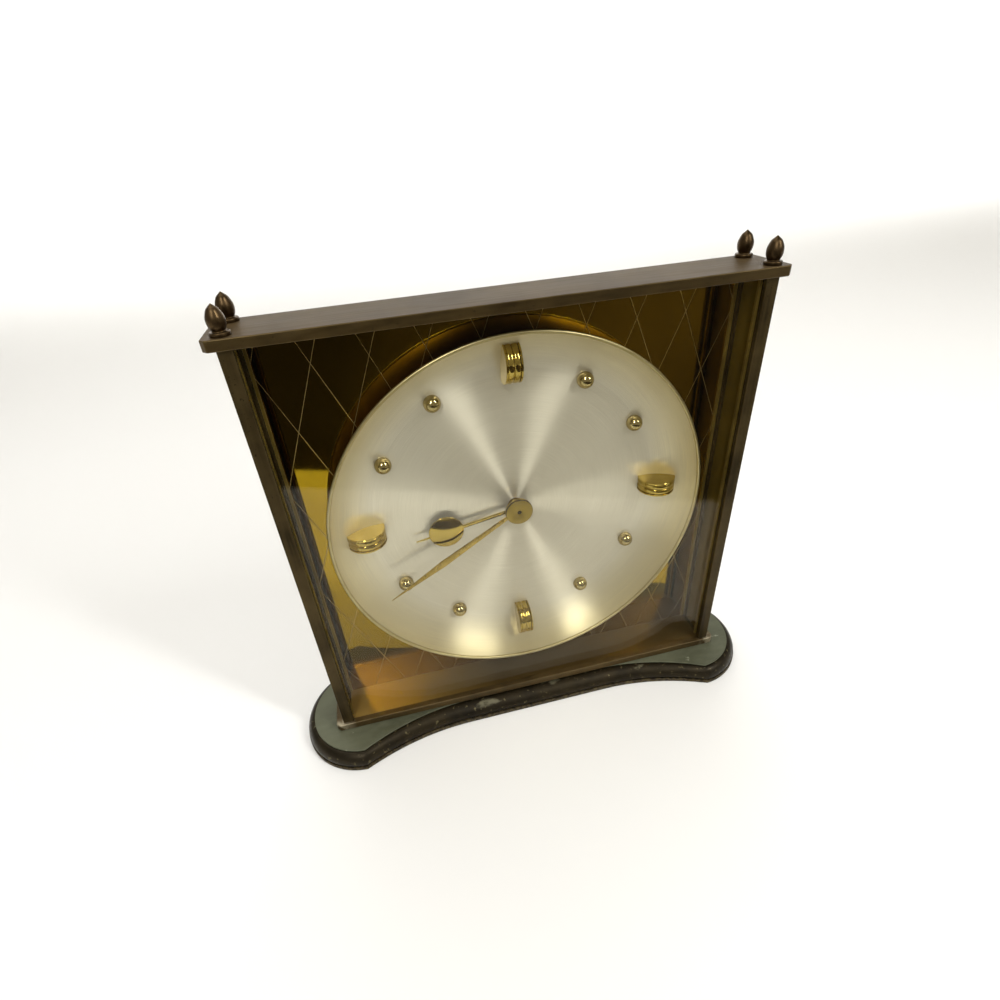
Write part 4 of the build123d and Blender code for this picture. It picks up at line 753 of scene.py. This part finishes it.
def ring(inner_r, outer_r, low, high, soft):
    """A turned washer drawn flat at the hub: bore, flat faces and softened outer edges."""
    foot_edge = arc((outer_r - soft, low + soft), soft, -90, 0, 5)
    top_edge = arc((outer_r - soft, high - soft), soft, 0, 90, 5)
    flat = [(inner_r, low), (outer_r - soft, low)]
    profile = np.concatenate([flat, foot_edge, top_edge, [(inner_r, high)]])
    return skinned(turned(profile, steps=72, axis="Z"), wrap_columns=True)


def blade(stations, half_widths, thick, ridge):
    """A tapering blade: at each station a section of five points, flat below and ridged along the middle
    above."""
    x, w = np.asarray(stations, float)[:, None], np.asarray(half_widths, float)[:, None]
    y = w * np.array([-1, -1, 0, 1, 1])
    z = np.broadcast_to(np.array([0, thick - ridge, thick, thick - ridge, 0]), y.shape)
    return skinned(np.stack([x + 0 * y, y, z], axis=-1), wrap_rows=False, wrap_columns=True)


def back_to_dial(obj):
    """Gives the faces that look towards the dial, along +Y, the piece's second finish."""
    choose_finish(obj, of_faces(obj, "normal")[:, 1] > 0.8)


# Painted shade on unpolished hand backs, which face the dial in shade: their mirror images on it are dark
dull_brass_and_shade = bright_brass("dull_and_painted_shade_brass", "2a2114", "3c3020", rough=0.5)
MINUTE_ANGLE, HOUR_ANGLE = 243.6, 260.3
HOUR_LIFT, MINUTE_LIFT, CAP_LIFT = 2.6, 4.8, 5.3
SHEET_T, BOSS_R = 0.5, 5.7
print("hands stand", HOUR_LIFT, "and", MINUTE_LIFT, "mm off the dial")

# %% Minute hand
# Gilt sheet with a soft gloss, a light streak along the ridge
hand_finish = bright_brass("gilt_hand_brass", "a48c46", "b59d56", rough=0.26)
BORE_R, BEND_X, BEND = 2.0, 6.0, math.radians(5.8)
kite_x, kite_half_width = (BORE_R, BEND_X, 38.2, 64.5), (0.8, 0.8, 1.6, 0.03)
kite = blade(kite_x, kite_half_width, SHEET_T, ridge=0.15)
points, faces = gathered([kite, ring(BORE_R, BOSS_R, -SHEET_T, SHEET_T, soft=0.12)])
past = np.maximum(points[:, 0] - BEND_X, 0)
points = points + np.column_stack([past * (math.cos(BEND) - 1), 0 * past, past * math.sin(BEND)])
placed = laid(points, MINUTE_ANGLE, FACE_Y - MINUTE_LIFT)
minute = finish_mesh("minute_hand_dressed", placed, faces, [hand_finish, dull_brass_and_shade], sharp=20)
back_to_dial(minute)
stands_for(minute, "minute_hand", "minute_train")
print("minute hand reaches", round(float(points[:, 0].max()), 1), "mm")

# %% Hour hand
PIPE_R, HOUR_BOSS_R, DISC_X = 2.9, 4.6, 31.0
DISC_R, DISC_T, EDGE_AT, EDGE_R = 7.2, 1.5, (7.0, 0.04), 0.3
DOME_R, DOME_REACH = 22.0, 7.09
dome = np.linspace(DOME_REACH, 0, 18)
dome_line = np.column_stack([dome, DISC_T - DOME_R + np.sqrt(DOME_R**2 - dome**2)])
disc_profile = np.concatenate([[(0, 0), (DISC_R, 0)], arc(EDGE_AT, EDGE_R, 0, 71, 7), dome_line])
disc = skinned(turned(disc_profile, steps=72, axis="Z") + (DISC_X, 0, 0))
needle_x, needle_half_width = (PIPE_R, 30.0, 44.0), (0.8, 0.75, 0.22)
needle = blade(needle_x, needle_half_width, SHEET_T, ridge=0.12)
points, faces = gathered([needle, ring(PIPE_R, HOUR_BOSS_R, 0.0, SHEET_T, soft=0.1), disc])
placed = laid(points, HOUR_ANGLE, FACE_Y - HOUR_LIFT)
hour = finish_mesh("hour_hand_dressed", placed, faces, [gold_finish, dull_brass_and_shade], sharp=30)
back_to_dial(hour)
stands_for(hour, "hour_hand", "hour_train")
print("hour hand reaches", round(float(points[:, 0].max()), 1), "mm")

# %% Hub cap
# Satin brass with fine turning marks, duller than the hands so that the hub stays quiet
cap_finish = bright_brass("satin_hub_brass", "917d38", "a38d46", rough=0.38, line_mm=0.25)
CAP_T, CAP_EASE = 1.0, 0.25
HOLE_REACH, WALL_START = 1.0, 5.6
shoulder = arc((BOSS_R - CAP_EASE, CAP_T - CAP_EASE), CAP_EASE, 0, 90, 5)
hole = [(1.2, CAP_T), (0.9, 0.85), (0.85, 0.4), (0, 0.4)]
cap_profile = np.concatenate([[(0, 0), (BOSS_R, 0)], shoulder, hole])
points, faces = skinned(turned(cap_profile, steps=72, axis="Z"))
placed = laid(points, 90, FACE_Y - CAP_LIFT)
nut = finish_mesh("hand_nut_dressed", placed, faces, [cap_finish, dull_brass_and_shade], sharp=40)
middle = of_faces(nut, "center") / MM - HUB
out = np.hypot(middle[:, 0], middle[:, 2])
# Painted shade: the dark dull brass lies in the cap's small hole and on its side wall
choose_finish(nut, (out < HOLE_REACH) | (out > WALL_START))
stands_for(nut, "hand_nut", "minute_train")
print("hub cap faces", len(nut.data.polygons))

# %% [markdown]
# ## Back plate
# Polished amber brass, scribed with a diamond lattice. Grooves cut into the mesh would need very many
# faces. So the lines are worked out from Object coordinates: two families of slanting lines, each the
# distance to the nearest of a row of parallels, which stay thin and sharp at any size.

# %% Back plate
LATTICE_LEAN, LATTICE_HALF_STEP, LATTICE_SHIFT = math.radians(22.3), 9.585, 2.7
# A scriber's line is about a tenth of a millimetre wide; it is drawn wider so that it shows
LINE_FADE, LINE_CORE = 0.20, 0.08


def lattice_brass(name):
    """Mirror brass with amber lacquer: slow dark stains, thin scribed lines in two slanting families. The
    rear face is left as dull rolled sheet."""
    material, tree, place = new_finish(name)
    x, z = (add(tree, "SeparateXYZ", {"Vector": place}, axis) for axis in "XZ")
    families = []
    for sign in (1, -1):
        slope = sign * math.tan(LATTICE_LEAN)
        lean = add(tree, "Math", {0: z, 1: slope, 2: x}, operation="MULTIPLY_ADD")
        run = add(tree, "Math", {0: lean, 1: -sign * LATTICE_SHIFT * MM}, operation="ADD")
        gap = add(tree, "Math", {0: run, 1: LATTICE_HALF_STEP * MM}, operation="PINGPONG")
        families.append(add(tree, "MapRange", {0: gap, 1: LINE_FADE * MM, 2: LINE_CORE * MM}))
    crossed = add(tree, "Math", {0: families[0], 1: families[1]}, operation="MAXIMUM")
    normal = add(tree, "NewGeometry", {}, "Normal")
    facing = add(tree, "SeparateXYZ", {"Vector": normal}, "Y")
    front = add(tree, "MapRange", {0: facing, 1: 0.3, 2: -0.3})
    scribed = add(tree, "Math", {0: crossed, 1: front}, operation="MULTIPLY")
    stain = patches(tree, place, 70, 0.38, 0.62, detail=2.0)
    amber = layered(tree, "876d0f", [(stain, "aa8d22")])
    line_haze = add(tree, "MapRange", {0: scribed, 3: 0.045, 4: 0.34})
    rear_haze = add(tree, "MapRange", {0: front, 3: 0.30, 4: 0.0})
    skin = {
        "Base Color": layered(tree, "7d6838", [(front, amber), (scribed, "93805a")]),
        "Metallic": add(tree, "MapRange", {0: scribed, 3: 1.0, 4: 0.7}),
        "Roughness": add(tree, "Math", {0: line_haze, 1: rear_haze}, operation="ADD"),
        "Normal": add(tree, "Bump", {"Height": scribed, "Distance": 0.05 * MM, "Strength": 0.4}),
    }
    add(tree, "OutputMaterial", {"Surface": add(tree, "BsdfPrincipled", skin)})
    return material


# Amber mirror that doubles the dial's edge and glows where it meets pale surroundings
nodes["back_plate"].data.materials.clear()
nodes["back_plate"].data.materials.append(lattice_brass("amber_lattice_brass"))
print("lattice step", 2 * LATTICE_HALF_STEP, "mm")

# %% [markdown]
# ## Glass
# A thin flat pane bends light so little that it could as well go straight through. A true glass shader
# would trace every bend and cast a dark shadow, so here the pane is transparent, with a mirror whose share
# grows at a slant.


# %% Glass
def pane_glass(name):
    """Clear glass: light goes straight through with a faint uneven tint. The mirrored share grows with the
    fifth power of the slant, much as it does on real glass."""
    material, tree, place = new_finish(name)
    tint = layered(tree, "fafaf5", [(grain(tree, place, 40), "fdfdfa")])
    through = add(tree, "BsdfTransparent", {"Color": tint})
    mirror = add(tree, "BsdfAnisotropic", {"Color": "fff6e6", "Roughness": 0.0})
    slant = add(tree, "LayerWeight", {"Blend": 0.5}, "Facing")
    steep = add(tree, "Math", {0: slant, 1: 5.0}, operation="POWER")
    share = add(tree, "MapRange", {0: steep, 3: 0.020, 4: 1.0})
    pane = add(tree, "MixShader", {0: share, 1: through, 2: mirror})
    add(tree, "OutputMaterial", {"Surface": pane})
    return material


# Window glass: nearly invisible, with a veil of reflection
nodes["front_glass"].data.materials.clear()
nodes["front_glass"].data.materials.append(pane_glass("clear_plate_glass"))
print("glass dressed")

# %% [markdown]
# ## The works
# Behind the dial the CAD solids stay as they are: milled brass wheels and plates, ground steel arbors and
# screws, blued springs and a plated dust drum. They could be remade too, but their shapes are already true.
# One modifier joins their loose triangles and smooths round walls, and one finish per metal gives them
# grain.


# %% Smoothing for CAD solids
def smoothing_group():
    """Joins loose triangles, smooths the faces and keeps edges sharper than 30 degrees crisp."""
    group = bpy.data.node_groups.new("join_and_smooth", "GeometryNodeTree")
    for way in ("INPUT", "OUTPUT"):
        group.interface.new_socket("Geometry", in_out=way, socket_type="NodeSocketGeometry")
    shape = add(group, "NodeGroupInput", {})
    joined = add(group, "GeometryNodeMergeByDistance", {"Geometry": shape, "Distance": 1e-6})
    smooth = add(group, "GeometryNodeSetShadeSmooth", {"Geometry": joined, "Shade Smooth": True})
    angle = add(group, "GeometryNodeInputMeshEdgeAngle", {}, "Unsigned Angle")
    limits = {0: angle, 1: math.radians(30)}
    sharp = add(group, "FunctionNodeCompare", limits, data_type="FLOAT", operation="GREATER_THAN")
    edges = {"Geometry": smooth, "Selection": sharp, "Shade Smooth": False}
    crisp = add(group, "GeometryNodeSetShadeSmooth", edges, domain="EDGE")
    add(group, "NodeGroupOutput", {0: crisp})
    return group


smoothing = smoothing_group()
print("smoothing nodes", len(smoothing.nodes))


# %% Finishes of the works
def worked_metal(name, tone_a, tone_b, rough, stretch=(1, 1, 1), line_mm=0.6):
    """Machined metal: slow change of tone and drawn grain, line_mm wide so that it shows."""
    material, tree, place = new_finish(name)
    cloud = patches(tree, place, 14)
    line = patches(tree, place, line_mm, 0.35, 0.70, stretch, 2.0)
    skin = {
        "Base Color": layered(tree, tone_a, [(cloud, tone_b)]),
        "Metallic": 1.0,
        "Roughness": add(tree, "MapRange", {0: line, 3: rough - 0.05, 4: rough + 0.10}),
        "Normal": add(tree, "Bump", {"Height": line, "Distance": 0.01 * MM, "Strength": 0.2}),
    }
    add(tree, "OutputMaterial", {"Surface": add(tree, "BsdfPrincipled", skin)})
    return material


works = {
    # Warm straight-grained plates and wheels
    "works_brass": worked_metal("milled_brass", "b08a3e", "c9a659", 0.30, (0.1, 1, 1)),
    # Cool grey arbors, pinions and screw heads
    "works_steel": worked_metal("ground_steel", "8f9092", "b2b3b4", 0.28, (1, 0.1, 1)),
    # Deep blue-grey of tempered springs
    "spring_steel": worked_metal("blued_spring_steel", "2b3550", "414e6e", 0.25),
    # Dull plated sheet of the dust drum and the carrier
    "zinc_steel": worked_metal("zinc_plated_sheet", "959286", "a6a395", 0.36, (1, 1, 0.2), 1.2),
    # Key and knob are polished
    "polished_brass": gold_finish,
}
slot_of = {part["node"]: part["material_slot"] for part in frame["record"]["subparts"]}
dressed = [name for name, obj in nodes.items() if slot_of[name] in works and not obj.hide_render]
for name in dressed:
    nodes[name].data.materials.clear()
    nodes[name].data.materials.append(works[slot_of[name]])
    nodes[name].modifiers.new("join_and_smooth", "NODES").node_group = smoothing
print("solids dressed", len(dressed))

# %% [markdown]
# ## Floor and light
# A pale sweep of paper runs under the clock and curves up behind it. Polished metal looks like what it
# mirrors, so the lights are few and the surroundings dim. A dark card lies on the floor in front, where the
# mirror of the back plate looks. It is hidden from the camera and darkens the upper half of that mirror,
# which a lamp alone couldn't do. Its edge beside the clock runs aslant, so the amber glow reaches higher at
# the left.

# %% Floor
# The stage is large, so its sizes are in metres
TONE_LEFT, TONE_RIGHT = -0.10, 0.25
FLOOR_NEAR, FLOOR_MIDDLE, CURVE_Y, CURVE_R, WALL_TOP = -3.0, -1.0, 1.6, 0.6, 3.0
CARD_NEAR, CARD_EDGE, CARD_LIFT, CARD_SLANT = -2.5, -0.196, 0.002, 0.42


def sheet_along(y, z, half_x, slant):
    """A floor or card: one profile of depths y and heights z, in metres, carried sideways from -half_x to
    half_x, where each depth grows by slant times x."""
    x = np.array([-half_x, half_x])[:, None]
    return np.stack([x + 0 * y, y + slant * x, z + 0 * x], axis=-1) / MM


def matt(name, tone_a, tone_b):
    """Matt paper whose tone drifts from left to right."""
    material, tree, place = new_finish(name)
    across = add(tree, "SeparateXYZ", {"Vector": place}, "X")
    drift = add(tree, "MapRange", {0: across, 1: TONE_LEFT, 2: TONE_RIGHT})
    tone = layered(tree, tone_a, [(drift, tone_b)])
    skin = {"Base Color": tone, "Roughness": 0.9, "Specular IOR Level": 0.1}
    add(tree, "OutputMaterial", {"Surface": add(tree, "BsdfPrincipled", skin)})
    return material


curve = arc((CURVE_Y, CURVE_R), CURVE_R, -90, 0, 24)
sweep_y = np.concatenate([[FLOOR_NEAR, FLOOR_MIDDLE], curve[:, 0], [CURVE_Y + CURVE_R]])
sweep_z = np.concatenate([[0.0, 0.0], curve[:, 1], [WALL_TOP]])
card_y, card_z = np.array([CARD_NEAR, CARD_EDGE]), np.array([CARD_LIFT, CARD_LIFT])
# White paper without gloss, so the floor stays plain
paper = matt("pale_paper", "f2f2f0", "f8f8f6")
# Dark brown card, a little lighter at the right
card = matt("dark_card", "231e17", "4a4030")
for name, y, z, half_x, slant, finish in (
    ("paper_sweep", sweep_y, sweep_z, 6.0, 0.0, paper),
    ("front_card", card_y, card_z, 0.6, CARD_SLANT, card),
):
    sheet = sheet_along(y, z, half_x, slant)
    staged = finish_mesh(name, *skinned(sheet, wrap_rows=False), [finish], sharp=180)
    staged.visible_camera = staged.visible_diffuse = staged.visible_shadow = finish is paper
    print(name, "points", len(staged.data.vertices))

# %% Lights
world = bpy.data.worlds.new("dim_room")
world.use_nodes = True
world.node_tree.nodes["Background"].inputs["Color"].default_value = linear("d9d2c6")
world.node_tree.nodes["Background"].inputs["Strength"].default_value = 0.56
bpy.context.scene.world = world
# Two narrow softboxes draw the crossing rays on the dial. Each row is a lamp's place and aim in metres, its
# width and height, its power in watts and its spread in degrees
for name, place, aim, width, height, power, spread in (
    ("right_softbox", (0.69, -0.64, 0.84), (0, 0, 0.1), 0.12, 0.60, 6.3, 180),
    ("left_softbox", (-0.34, -0.85, 0.95), (0, 0, 0.1), 0.10, 0.60, 6.2, 180),
    ("top_softbox", (-0.2, 0.35, 1.3), (0, 0.2, 0.0), 1.2, 0.8, 5.6, 180),
    ("wall_light", (0.9, 0.2, 2.6), (0.9, 2.2, 0.8), 4.5, 0.6, 48.0, 70),
):
    lamp = bpy.data.lights.new(name, "AREA")
    lamp.shape = "RECTANGLE"
    lamp.size, lamp.size_y, lamp.energy = width, height, power
    lamp.spread = math.radians(spread)
    light = bpy.data.objects.new(name, lamp)
    light.location = place
    light.rotation_euler = (Vector(aim) - Vector(place)).to_track_quat("-Z", "Y").to_euler()
    bpy.context.collection.objects.link(light)
    print(name, "at", place)

# %% [markdown]
# ## Last step
# The dressed clock has to stay inside the box of the solids. The view layer is brought up to date at the end.

# %% Bring the scene up to date
bpy.context.view_layer.update()
